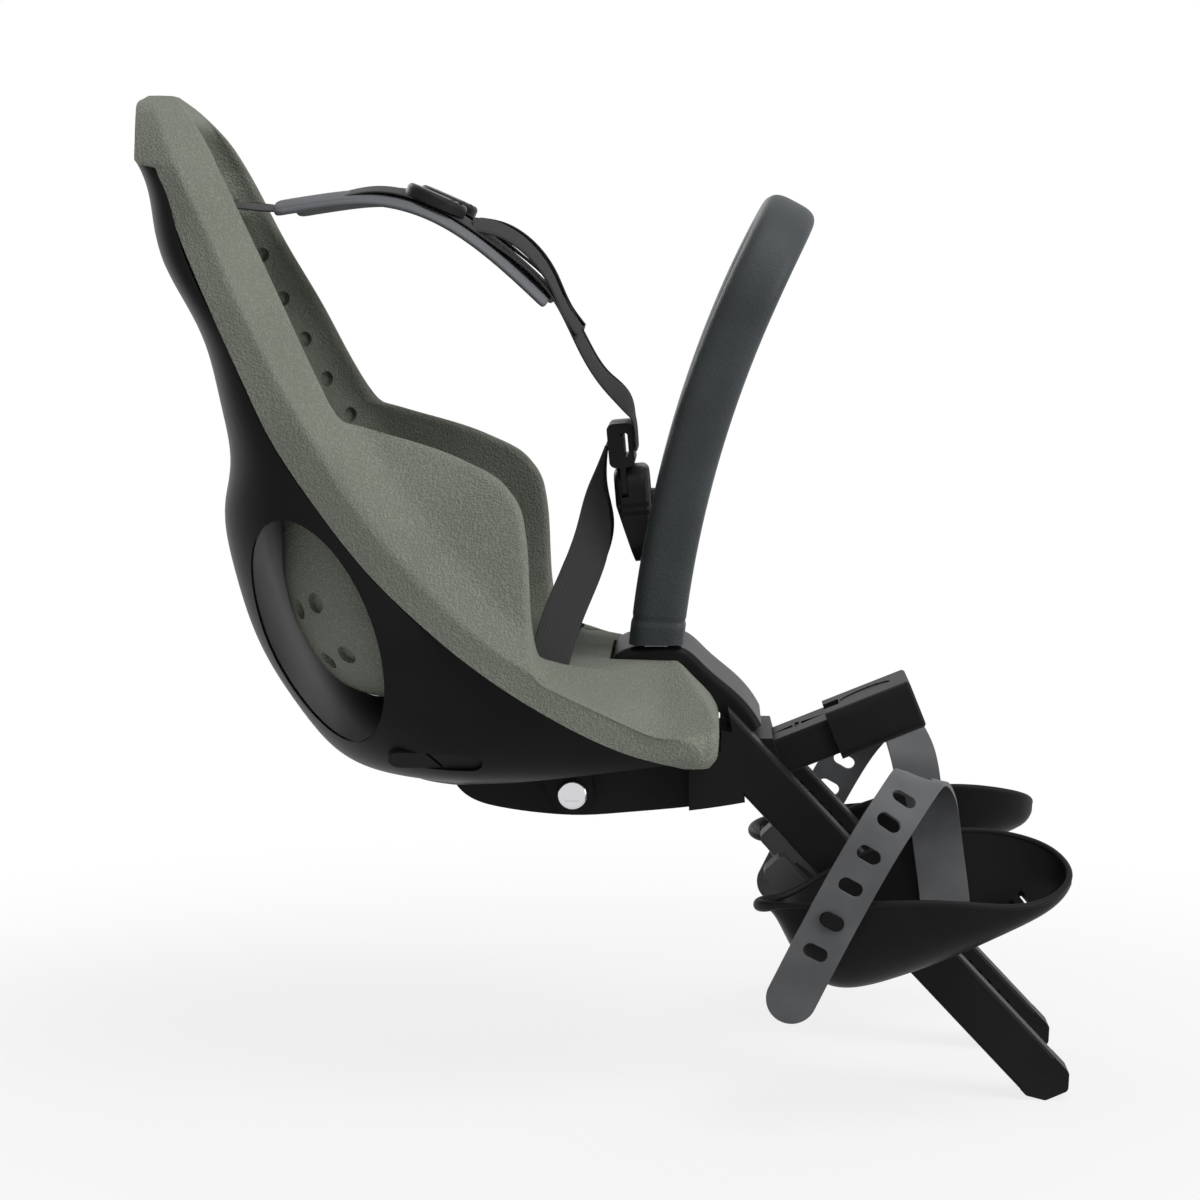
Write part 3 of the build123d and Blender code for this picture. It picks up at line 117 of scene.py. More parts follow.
# Slope of a thigh pad: a point on its crest, the fall forwards and outwards, the run of the fall forwards, the
# softness of its bends, and the places between which it begins
THIGH_POINT = (-190.0, 90.0, 33.0)
THIGH_FALL = (0.488, 0.35)
THIGH_RUN = 50.0
RUN_SOFTNESS = 5.0
THIGH_SOFTNESS = 1.6
THIGH_REAR = (-207.0, -197.0)
# Rows of the liner: level ones, and those across the pan. Columns of a half row: the hollow's back, corner and
# side, the edge's round, the notch's end, the bevel, the flank, and the parts of the tub's back
LINER_ROWS = 250
PAN_ROWS = 34
HOLLOW_COLUMNS = (22, 38, 22)
ROUND_COLUMNS = 11
FRONT_COLUMNS = sum(HOLLOW_COLUMNS) + ROUND_COLUMNS
NOTCH_COLUMNS = 36
BEVEL_COLUMNS = 14
FLANK_COLUMNS = 10
TUB_COLUMNS = (3, 8, 36, 6)
BACK_COLUMNS = sum(TUB_COLUMNS)
# Strap slots of the left side: middle, long direction, direction inwards, half run, radius and depth
BACK_LEAN = math.radians(25.0)
BACK_SLOT = ((-385, 43, 268), (0, 1, 0), (-math.cos(BACK_LEAN), 0, -math.sin(BACK_LEAN)), 12.8, 2.5, 9.0)
HIP_SLOT = ((-199, 90, 29), (1, 0, 0), (0, 0, -1), 9.0, 5.0, 15.0)
# Vents of the left side, up the hollow's wall and in the tub's corner: place, direction that they face, and radius
VENTS = [(place, (0.52, -0.83, -0.2), 4.2) for place in (
    (-367.6, 65, 241.7), (-357, 76, 216.8), (-345.8, 83, 193.8), (-334.3, 89, 171), (-321.6, 96, 150))]
VENTS += [(place, facing, 5.6) for place, facing in (
    ((-328, 92.9, 58), (-0.87, 0.48, -0.1)), ((-318, 107.6, 63), (-0.69, 0.72, -0.08)),
    ((-313, 90.4, 31), (-0.71, 0.5, -0.49)), ((-302, 106.7, 36), (-0.52, 0.75, -0.41)))]
VENT_DEPTH = 3.5
# Height over which the rows close up at a vent
VENT_SPREAD = 6.0
# How far above and below a slot the skin takes part in it, and how far round it the faces become triangles
SLOT_NEAR = 9.0
SLOT_ROOM = 4.0
# Points of the liner closer than this are one
SEAM = 0.004
# Turn between two faces past which their edge is sharp
SHARP_TURN = math.radians(48.0)
NO_TRIANGLES = np.empty((0, 3), int)
SIDES = ("right", "left")

# Handle: the big bend seen from the side, the hoop's feet, lean and arch, and the cover's section
BEND_CENTRE = np.array([469.0, -27.0])
BEND_RADIUS = 614.0
HOOP_FOOT = np.array([-142.5, 30.0])
HOOP_LEAN = math.radians(24.0)
HOOP_HEIGHT = 250.0
HOOP_FOOT_SPREAD = 33.0
HOOP_TOP_SPREAD = 72.0
HOOP_SHOULDER = 192.0
HOOP_ROUND = 0.9
COVER_DEPTH = 29.0
COVER_WIDTH = 24.0
COVER_SQUARENESS = (0.58, 0.58)
COVER_FOOT = 33.6
# Hem of the cover: its place from the foot, the fold's depth and run, and the swell below it with its steepness
HEM_PLACE = 15.0
HEM_FOLD = 0.06
HEM_RUN = 1.3
HEM_SWELL = 0.02
HEM_STEEPNESS = 2.0
LEVEL_RUN = 34.0

# Foot straps: points and directions of the width; places of the holes and of the tail in the side view; half run
# and radius of a hole, the soft edge, and the least square of the width's share at the tip
STRAP_ROUTE = [
    ((11.5, 87, -98), (1, 0, 0)), ((10, 80.6, -84), (1, 0, 0)), ((8, 76, -68), (1, 0, -0.03)),
    ((5, 79, -48), (1, 0, -0.1)), ((0, 93, -33), (1, 0, -0.2)), ((-5, 115, -26.5), (1, 0, -0.3)),
    ((-13, 136, -32.5), (0.95, 0, -0.4)), ((-25, 149.5, -48), (0.9, 0, -0.45)),
    ((-37, 153, -68), (0.89, 0, -0.46)), ((-52, 154, -96), (0.89, 0, -0.46)),
    ((-79, 154, -150), (0.89, 0, -0.46)),
]
STRAP_WIDTH = 26.0
STRAP_THICKNESS = 2.4
STRAP_HOLES = [(-24.2, -42.2), (-33.1, -59.2), (-41.6, -76.2), (-50.6, -93.4), (-58.8, -109.5), (-14.6, -33.5),
               (-4.2, -26.8)]
STRAP_TAIL = (-71.0, -134.0)
STRAP_SLOT = (2.9, 3.7)
STRAP_SOFT_EDGE = 0.5
STRAP_TIP = 4e-3

# Rim of a foot cup: along the outer side from heel to toe, and back along the inner side
CUP_RIM = [
    (-86.5, 113, -94), (-70, 134.7, -89.7), (-48, 142.7, -88), (-20, 146.7, -86), (10, 145.7, -86),
    (40, 138.7, -89), (62, 126.7, -87), (74, 110, -78.5), (72, 96, -72.5), (62, 81.3, -67), (40, 72.3, -62.5),
    (10, 70.3, -63), (-20, 70.3, -71), (-48, 72.3, -83), (-70, 80, -94), (-85.5, 100, -95),
]
# The lip's radius, and where, how much and over what run it swells at the heel
LIP_RADIUS = 1.7
HEEL_PLACE = -88.0
HEEL_SWELL = 0.9
HEEL_RUN = 9.0

# Shoulder pads: route, size, radius of the corners, place and slope of the bound edge as shares of the half width,
# and shares of the thickness: at the edge, what is added inside it and at the crown, and at the ends
PAD_ROUTE = [
    (-344, 43, 267), (-318, 43, 271), (-292, 42.5, 272.5), (-262, 41, 265), (-232, 38, 246), (-201, 34, 218),
]
PAD_WIDTH = 42.0
PAD_THICKNESS = 7.0
PAD_CORNER = 5.0
PAD_BINDING = 0.86
BINDING_SLOPE = 0.05
PAD_EDGE = 0.45
PAD_STEP = 0.2
PAD_CROWN = 0.35
PAD_END = 0.9
PAD_END_RUN = 1.5
PAD_SQUARENESS = (0.5, 0.5)

# Webbing of the harness: first the lift above the pad's middle line, at each point of the pad's route
WEB_LIFTS = (0.0, 0.6, 4.6, 4.8, 4.8, 4.8)
WEB_WIDTH = 25.0
WEB_THICKNESS = 1.4
WEB_SQUARENESS = (0.35, 0.6)
WEB_START = [(-397, 43, 268), (-369, 43, 269)]
WEB_LOWER = [
    (-182, 28, 193.5), (-168, 21, 172.5), (-156.4, 15.5, 159), (-154.2, 14.5, 148.9), (-153.3, 14.5, 136.9),
]
# Loose end of the shoulder webbing, which stands off the pad in front of the slider
WEB_TAIL = [
    (-240, 39, 258.5), (-229, 37.8, 256.5), (-217, 36.5, 250.5), (-199, 34, 229.5), (-190, 32.2, 210.5),
    (-183.5, 31, 201.5),
]
TAIL_WIDTH = 22.0
TAIL_THICKNESS = 1.8
# Fall outwards of the bands' width on the pad, below it and at the loose end
PAD_ROLL = 0.13
WEB_ROLL = 0.42
TAIL_ROLL = 0.34
HIP_ROUTE = [
    ((-169.6, 22, 139), (0, 1, 0)), ((-173.5, 26, 119), (0.35, 1, 0)), ((-175, 37, 98), (0.8, 0.7, -0.15)),
    ((-181, 54, 76), (0.95, 0.4, -0.3)), ((-191, 73, 52), (0.95, 0.3, -0.35)), ((-199, 88, 25), (0.95, 0.25, -0.3)),
]
HIP_WIDTH = 22.0
CROTCH_ROUTE = [((-149, 0, 26), (0, 1, 0)), ((-147.5, 0, 51), (0, 1, 0)), ((-148, 0, 76), (0, 1, 0))]

# Studio, in metres
FLOOR_REACH = 6.0
FLOOR_CENTRE = -0.17
FLOOR_GREY = 0.7
# Share of plain white in what the camera sees of the floor, and the distances over which it becomes the whole
FLOOR_WHITE = 0.8
FLOOR_FADE = (0.25, 0.75)
WORLD_LIGHT = 0.3
# Lamps: name, place, side and watts
LAMP_AIM = Vector((-0.2, 0, 0.08))
LAMPS = [
    ("key", (0.5, -0.8, 1.7), 1.1, 19), ("front", (1.75, -0.95, 0.4), 1.1, 22), ("rear", (-1.4, 1.6, 1.0), 1.2, 16),
]
# Camera: its turn and rise round the target, its distance, and its lens and sensor in millimetres
CAMERA_TURN = math.radians(1.82)
CAMERA_RISE = math.radians(6.35)
CAMERA_AWAY = 1.835
CAMERA_TARGET = Vector((-0.17355, 0.0, 0.053132))
CAMERA_LENS = 100.0
CAMERA_SENSOR = 36.0


class Strand:
    """A socket in a material's nodes that takes part in Python sums; each operator adds one Math node."""

    def __init__(self, tree, socket=None):
        self.tree = tree
        self.socket = socket

    def node(self, kind, settings=None, sockets=None, out=0):
        """Adds a node of a kind: its settings first, then its sockets' values or links; gives one output."""
        made = self.tree.nodes.new(kind)
        for key, value in (settings or {}).items():
            setattr(made, key, value)
        for key, value in (sockets or {}).items():
            target = made.inputs[key]
            if isinstance(value, Strand):
                self.tree.links.new(value.socket, target)
            else:
                target.default_value = value
        return Strand(self.tree, made.outputs[out])

    def math(self, operation, *values):
        """Result of an operation on values or strands."""
        return self.node("ShaderNodeMath", {"operation": operation}, dict(enumerate(values)))

    def __add__(self, other):
        return self.math("ADD", self, other)

    __radd__ = __add__

    def __sub__(self, other):
        return self.math("SUBTRACT", self, other)

    def __rsub__(self, other):
        return self.math("SUBTRACT", other, self)

    def __mul__(self, other):
        return self.math("MULTIPLY", self, other)

    __rmul__ = __mul__

    def within(self, low, high):
        """Share of the way from low to high, held between 0 and 1."""
        return self.node("ShaderNodeMapRange", {"clamp": True, "interpolation_type": "SMOOTHSTEP"},
                         {"Value": self, "From Min": low, "From Max": high, "To Min": 0.0, "To Max": 1.0})


def linear(red, green, blue):
    """A colour on the screen's 0 to 255 scale as the light it stands for."""
    share = np.array([red, green, blue]) / 255.0
    light = np.where(share <= 0.04045, share / 12.92, ((share + 0.055) / 1.055) ** 2.4)
    return tuple(float(value) for value in light)


def new_finish(name, roughness=0.5, metallic=0.0, specular=0.5):
    """A material with one shader: gives the material, the shader node and a strand."""
    material = bpy.data.materials.new(name)
    material.use_nodes = True
    tree = material.node_tree
    shader = tree.nodes["Principled BSDF"]
    for socket, value in (("Roughness", roughness), ("Metallic", metallic), ("Specular IOR Level", specular)):
        shader.inputs[socket].default_value = value
    return material, shader, Strand(tree)


def feed(shader, socket, strand):
    """Links a strand to the shader."""
    strand.tree.links.new(strand.socket, shader.inputs[socket])


def blend_colours(strand, share, first, second):
    """Colour that goes from first to second with a share."""
    return strand.node("ShaderNodeMix", {"data_type": "RGBA"},
                       {"Factor": share, "A": (*first, 1.0), "B": (*second, 1.0)}, out=2)


def place_of(strand):
    """Object coordinates, in metres."""
    return strand.node("ShaderNodeTexCoord", out=3)


def band_map(strand):
    """Places across and along a band or pad, on its own map."""
    where = strand.node("ShaderNodeUVMap", {"uv_map": "band"})
    across = strand.node("ShaderNodeSeparateXYZ", {}, {"Vector": where})
    return across, Strand(strand.tree, across.socket.node.outputs[1])


def wave(strand, pitch):
    """Sine of a place, with a pitch."""
    return strand.math("SINE", strand * (2.0 * math.pi / pitch))


def noise(strand, size, detail=2.0, twist=0.0):
    """Clouds of about a size in millimetres, drawn out by a twist."""
    return strand.node("ShaderNodeTexNoise", {}, {
        "Vector": place_of(strand), "Scale": 1.0 / (size * MM), "Detail": detail, "Distortion": twist})


def bump(shader, strand, height, depth, strength=1.0):
    """Tilts the shader's normal by a height value, with a depth in millimetres."""
    tilt = strand.node("ShaderNodeBump", {}, {"Height": height, "Distance": depth * MM, "Strength": strength})
    feed(shader, "Normal", tilt)


def moulded_finish(name, colour, grain=0.9, depth=0.05, roughness=(0.4, 0.5), specular=0.08, lift=1.3):
    """Moulded plastic: a fine even grain, a slow change of gloss and a little dust in the tone."""
    material, shader, strand = new_finish(name, specular=specular)
    fine = noise(strand, grain, detail=3.0)
    slow = noise(strand, size=45.0)
    tone = tuple(min(1.0, value * lift) for value in colour)
    feed(shader, "Base Color", blend_colours(strand, slow.within(0.35, 0.7), colour, tone))
    feed(shader, "Roughness", roughness[0] + (roughness[1] - roughness[0]) * (0.6 * slow + 0.4 * fine))
    bump(shader, strand, fine, depth)
    return material


def foam_finish():
    """Moulded foam skin: short wandering ridges, flat on top, with painted shade that darkens the valleys between
    them, fine pits and an uneven tone.
    """
    material, shader, strand = new_finish("liner_foam", specular=0.2)
    ridge = noise(strand, size=1.2, detail=1.0, twist=0.6).within(0.34, 0.64)
    pits = noise(strand, size=0.7)
    slow = noise(strand, size=60.0)
    base = blend_colours(strand, slow.within(0.3, 0.7), linear(124, 128, 117), linear(131, 135, 124))
    # painted shade: the valleys between the ridges are multiplied towards a darker grey
    tone = strand.node("ShaderNodeMix", {"data_type": "RGBA", "blend_type": "MULTIPLY"},
                       {"Factor": (1.0 - ridge) * 0.3, "A": base, "B": (0.55, 0.56, 0.54, 1.0)}, out=2)
    feed(shader, "Base Color", tone)
    feed(shader, "Roughness", 0.62 + 0.16 * pits)
    bump(shader, strand, 0.85 * ridge + 0.15 * pits, depth=0.46)
    return material


def grain_finish():
    """Cover of the handle: leather grain of short creases, with a soft sheen."""
    material, shader, strand = new_finish("handle_grain", specular=0.3)
    creases = noise(strand, size=1.7, detail=1.5, twist=1.1).within(0.36, 0.6)
    fine = noise(strand, size=0.6)
    slow = noise(strand, size=50.0)
    colour = blend_colours(strand, slow.within(0.3, 0.7), linear(50, 54, 56), linear(58, 63, 65))
    feed(shader, "Base Color", colour)
    feed(shader, "Roughness", 0.46 + 0.16 * fine)
    bump(shader, strand, 0.8 * creases + 0.2 * fine, depth=0.12, strength=0.9)
    return material


def rubber_finish():
    """Soft rubber: smooth, with a faint mottle and a dull gloss."""
    material, shader, strand = new_finish("strap_rubber", specular=0.25)
    fine = noise(strand, size=0.7, detail=3.0)
    slow = noise(strand, size=22.0)
    feed(shader, "Base Color", blend_colours(strand, slow.within(0.3, 0.7), linear(78, 79, 81), linear(88, 89, 91)))
    feed(shader, "Roughness", 0.45 + 0.15 * slow)
    bump(shader, strand, fine, depth=0.03)
    return material


def woven_finish(name, colour, pitch=1.3, ribs=11.0):
    """Woven band: ribs along it and picks across it."""
    material, shader, strand = new_finish(name, roughness=0.72, specular=0.3)
    across, along = band_map(strand)
    rib = wave(across, 1.0 / ribs)
    weave = 0.5 + 0.25 * rib + 0.25 * (rib * wave(along, pitch * MM))
    fine = noise(strand, size=0.5)
    pale = tuple(min(1.0, value * 2.0 + 0.004) for value in colour)
    feed(shader, "Base Color", blend_colours(strand, weave * (0.5 + 0.5 * fine), colour, pale))
    feed(shader, "Roughness", 0.62 + 0.2 * fine)
    bump(shader, strand, weave, depth=0.22, strength=0.7)
    return material


def knit_finish(pitch=1.1):
    """Cloth of the shoulder pads: a small crossed weave, with a slow fade."""
    material, shader, strand = new_finish("pad_cloth", specular=0.2)
    across, along = band_map(strand)
    weave = 0.5 + 0.5 * (wave(across, pitch * MM) * wave(along, pitch * MM))
    slow = noise(strand, size=25.0)
    tone = blend_colours(strand, weave * 0.6 + slow * 0.4, linear(92, 93, 97), linear(118, 119, 123))
    feed(shader, "Base Color", tone)
    feed(shader, "Roughness", 0.75 + 0.12 * slow)
    bump(shader, strand, weave, depth=0.12, strength=0.7)
    return material


def metal_finish(name, dark, pale, size, roughness):
    """Plated metal: a fine cloud changes its tone and its gloss together."""
    material, shader, strand = new_finish(name, metallic=1.0)
    marks = noise(strand, size, detail=4.0)
    feed(shader, "Base Color", blend_colours(strand, marks, linear(*dark), linear(*pale)))
    feed(shader, "Roughness", roughness[0] + (roughness[1] - roughness[0]) * marks)
    return material


FINISHES = {
    "shell_plastic": moulded_finish("shell_satin", linear(20, 20, 21), grain=0.8, depth=0.02, roughness=(0.36, 0.46)),
    "liner_foam": foam_finish(),
    "frame_plastic": moulded_finish("frame_black", linear(25, 25, 26), grain=0.7, depth=0.05, roughness=(0.42, 0.55)),
    "handle_cover": grain_finish(),
    "strap_rubber": rubber_finish(),
    "webbing": woven_finish("harness_web", linear(25, 25, 26)),
    "pad_fabric": knit_finish(),
    "buckle_plastic": moulded_finish("buckle_black", linear(33, 33, 34), grain=0.6, depth=0.02,
                                     roughness=(0.32, 0.44)),
    "button_plastic": moulded_finish("button_grey", linear(40, 40, 41), grain=0.6, depth=0.02),
    "lever_plastic": moulded_finish("lever_grey", linear(66, 66, 67), grain=0.7, depth=0.04, roughness=(0.42, 0.52)),
    "bright_metal": metal_finish("bright_metal", (196, 197, 199), (226, 226, 228), size=0.5, roughness=(0.12, 0.24)),
    "plain_steel": metal_finish("plain_steel", (150, 151, 153), (188, 188, 190), size=2.0, roughness=(0.3, 0.5)),
}


def through(table, at):
    """Columns of a table at heights between its rows: from row to row a cubic, whose slope at each row is the
    harmonic mean of the slopes beside it, and flat where those change sign."""
    knots, values = table[:, 0], table[:, 1:]
    step = np.diff(knots)[:, None]
    rise = np.diff(values, axis=0) / step
    same = rise[1:] * rise[:-1] > 0
    total = np.where(same, rise[1:] + rise[:-1], 1.0)
    slope = np.vstack([rise[:1], np.where(same, 2 * rise[1:] * rise[:-1] / total, 0.0), rise[-1:]])
    cell = np.clip(np.searchsorted(knots, at, side="right") - 1, 0, len(knots) - 2)
    span = step[cell]
    share = ((at - knots[cell])[:, None]) / span
    square, cube = share ** 2, share ** 3
    return (values[cell] * (2 * cube - 3 * square + 1) + values[cell + 1] * (3 * square - 2 * cube)
            + span * slope[cell] * (cube - 2 * square + share) + span * slope[cell + 1] * (cube - square)).T


def lengths(points):
    """Length along a line of points, from its start to each of them."""
    return np.concatenate([[0.0], np.cumsum(np.linalg.norm(np.diff(points, axis=0), axis=1))])


def unit(rows):
    """Directions made one long."""
    return rows / np.linalg.norm(rows, axis=1)[:, None]


def square_to(rows, along):
    """Directions turned square to others, and made one long."""
    return unit(rows - along * np.sum(rows * along, axis=1)[:, None])


def eased(values, low, high):
    """Share of the way from low to high, with soft ends: three squares less two cubes."""
    share = np.clip((values - low) / (high - low), 0, 1)
    return share ** 2 * (3 - 2 * share)


def flowing(points, count, samples=600):
    """Points on a smooth line through given points, evenly spaced along it: each column is a natural spline
    over the length along the chords."""
    chord = lengths(points)
    fine = np.linspace(0, chord[-1], samples)
    length = lengths(natural(chord, points, fine))
    even = np.linspace(0, length[-1], count)
    place = np.interp(even, length, fine)
    return natural(chord, points, place), even, place, chord


def natural(knots, values, at):
    """Natural cubic spline through rows of values: the bending at the rows solves one linear system."""
    count = len(knots)
    step = np.diff(knots)
    system = np.eye(count)
    right = np.zeros((count, values.shape[1]))
    inner = np.arange(1, count - 1)
    system[inner, inner - 1] = step[:-1]
    system[inner, inner] = 2 * (step[:-1] + step[1:])
    system[inner, inner + 1] = step[1:]
    rise = np.diff(values, axis=0) / step[:, None]
    right[1:-1] = 6 * (rise[1:] - rise[:-1])
    bend = np.linalg.solve(system, right)
    cell = np.clip(np.searchsorted(knots, at, side="right") - 1, 0, count - 2)
    width = step[cell][:, None]
    after = (at - knots[cell])[:, None]
    before = width - after
    return (bend[cell] * before ** 3 / (6 * width) + bend[cell + 1] * after ** 3 / (6 * width)
            + (values[cell] / width - bend[cell] * width / 6) * before
            + (values[cell + 1] / width - bend[cell + 1] * width / 6) * after)


def grid_faces(rows, columns, close_columns=False):
    """Corner numbers of the four-sided faces of a grid of points, closed round where asked."""
    row = np.arange(rows - 1)[:, None]
    column = np.arange(columns if close_columns else columns - 1)[None, :]
    after = (column + 1) % columns
    low, high = row * columns, (row + 1) * columns
    return np.stack([corner.ravel() for corner in (low + column, low + after, high + after, high + column)], axis=1)


def mirrored(points):
    """The same points on the other side."""
    return np.asarray(points, float) * np.array([1.0, -1.0, 1.0])


def capped(points, across, even):
    """Closed skin from rings of points along a path: faces between the rings, and a fan on each end's middle. Its
    map is made of places across, and of the length along in metres."""
    rows, around, _ = points.shape
    band = np.stack(np.broadcast_arrays(across, (even * MM)[:, None]), axis=2)
    ring = np.arange(around)
    after = (ring + 1) % around
    first = np.stack([after, ring, np.full(around, rows * around)], axis=1)
    last = np.stack([ring, after, np.full(around, rows * around + 1)], axis=1)
    last[:, :2] += (rows - 1) * around
    ends = points[[0, -1]].mean(axis=1)
    end_bands = band[[0, -1]].mean(axis=1)
    return (np.concatenate([points.reshape(-1, 3), ends]), grid_faces(rows, around, close_columns=True),
            np.concatenate([first, last]), np.concatenate([band.reshape(-1, 2), end_bands]))


def volume(points, quads, triangles):
    """Room inside a closed skin: a sixth of the triple product of each triangle's corners, added up."""
    corners = points[np.concatenate([quads[:, :3], quads[:, [0, 2, 3]], triangles])]
    return np.sum(corners[:, 0] * np.cross(corners[:, 1], corners[:, 2])) / 6


def placed(name, data):
    """A new object of some data, in the scene."""
    made = bpy.data.objects.new(name, data)
    bpy.context.scene.collection.objects.link(made)
    return made


def piece(name, skin, slot, body="seat", node=None, side="right", closed=True):
    """Makes a mesh of a skin, mirrored for the left, with its faces outwards, its map and its finish; lets it ride on
    a body, and hides the solid that it stands for."""
    points, quads, triangles, band = skin
    points = mirrored(points) if side == "left" else points
    if closed and volume(points, quads, triangles) < 0:
        quads, triangles = quads[:, ::-1], triangles[:, ::-1]
    mesh = bpy.data.meshes.new(name)
    mesh.from_pydata(points * MM, [], [*quads.tolist(), *triangles.tolist()])
    if band is not None:
        layer = mesh.uv_layers.new(name="band")
        corner = np.empty(len(mesh.loops), int)
        mesh.loops.foreach_get("vertex_index", corner)
        layer.data.foreach_set("uv", band[corner].ravel())
    mesh.polygons.foreach_set("use_smooth", np.ones(len(mesh.polygons), bool))
    mesh.set_sharp_from_angle(angle=SHARP_TURN)
    mesh.materials.append(FINISHES[slot])
    mesh.update()
    made = placed(name, mesh)
    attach(made, body)
    if node:
        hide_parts(node)
    return made


def hinge(distance, softness):
    """A bend in a straight line, rounded: half the sum of the distance and the root of its square plus the
    softness squared."""
    return (distance + np.sqrt(distance ** 2 + softness ** 2)) / 2


def rim_width(place, edge, edge_half, ridge, ridge_half, bevel, bevel_half, front_half):
    """Half width of the rim's outside at a fore-aft place: a straight run from the edge, which bends at the
    ridge and again, more softly, at the end of the bevel."""
    first = (ridge_half - edge_half) / (ridge - edge)
    second = (bevel_half - ridge_half) / (bevel - ridge)
    third = (front_half - bevel_half) / np.maximum(NOSE - bevel, LEAST_FRONT)
    return (edge_half + first * (place - edge) + (second - first) * hinge(place - ridge, RIDGE_SOFTNESS)
            + (third - second) * hinge(place - bevel, BEVEL_SOFTNESS))


def spread(starts, ends, count):
    """Even steps from starts to ends, one row for each, without the start itself."""
    return starts[:, None] + (ends - starts)[:, None] * np.linspace(0, 1, count + 1)[1:]


def abreast(*parts):
    """Rows made of parts, one beside the other."""
    return np.concatenate(parts, axis=1)


def held(values, count):
    """The same values, count times, one row for each."""
    return np.repeat(values[:, None], count, axis=1)


def liner_levels(samples=6000):
    """Heights of the liner's rows: as close as its front edge is long, and closer still at the vents."""
    fine = np.linspace(FRONT_EDGE[0, 0], FRONT_EDGE[-1, 0], samples)
    front, = through(FRONT_EDGE, fine)
    middle = (fine[1:] + fine[:-1]) / 2
    holes = np.array([place[2] for place, *_ in [*VENTS, BACK_SLOT]])
    near = np.exp(-((middle[:, None] - holes) / VENT_SPREAD) ** 2).max(axis=1)
    weight = np.hypot(np.diff(fine), np.diff(front)) + near * np.diff(fine)
    total = np.concatenate([[0.0], np.cumsum(weight)])
    return np.interp(np.linspace(0, total[-1], LINER_ROWS), total, fine)


def liner_outside(start, rim):
    """Rim's outside on half rows, from a start back over the ridge to the shell's edge."""
    edge, ridge = rim[0], rim[2]
    ridge = np.minimum(ridge, start - LEAST_RUN)
    edge = np.minimum(edge, ridge - LEAST_RUN)
    x = abreast(held(start, 1), spread(start, ridge, BEVEL_COLUMNS), spread(ridge, edge, FLANK_COLUMNS))
    return x, rim_width(x, *(value[:, None] for value in rim))


def liner_back(height, edge, edge_half):
    """Back of the liner on half rows, from the shell's edge to the middle: round the tub's elliptical corner;
    above the tub straight across; below it straight to the notch and along its end."""
    rear, half, depth, corner = through(TUB, np.clip(height, TUB[0, 0], TUB[-1, 0]))
    start, outer = edge + STEP_FORWARDS, edge_half - STEP_INWARDS
    turn = rear + depth
    swing = np.arccos(np.clip((turn - start) / depth, 0.0, 1.0))
    straight = half - corner
    beside = straight + corner * np.sin(swing)
    middle = np.zeros_like(height)
    step, side, bend, flat = TUB_COLUMNS
    angle = swing[:, None] * np.linspace(1, 0, bend + 1)[1:]
    round_x = abreast(held(start, step), spread(start, np.minimum(start, turn), side),
                      turn[:, None] - depth[:, None] * np.cos(angle), held(np.minimum(rear, turn), flat))
    round_y = abreast(spread(outer, beside, step), held(beside, side),
                      straight[:, None] + corner[:, None] * np.sin(angle), spread(straight, middle, flat))
    across = BACK_COLUMNS - NOTCH_COLUMNS
    notch = middle + NOTCH_HALF_WIDTH
    low_x = abreast(held(start, across), held(np.minimum(start, NOTCH_REAR), NOTCH_COLUMNS))
    low_y = abreast(spread(outer, notch, across), notch[:, None] * np.linspace(1, 0, NOTCH_COLUMNS))
    low, high = (height < TUB[0, 0])[:, None], (height > TUB[-1, 0])[:, None]
    return (np.where(low, low_x, np.where(high, held(start, BACK_COLUMNS), round_x)),
            np.where(low, low_y, np.where(high, spread(outer, middle, BACK_COLUMNS), round_y)))


def joined_rows(parts, start, rim, height):
    """Half rows from their front parts, the rim's outside and the back."""
    outside = liner_outside(start, rim)
    back = liner_back(height, outside[0][:, -1], outside[1][:, -1])
    x, y = (abreast(*places) for places in zip(*parts, outside, back))
    return np.stack([x, y, np.broadcast_to(height[:, None], x.shape)], axis=2)


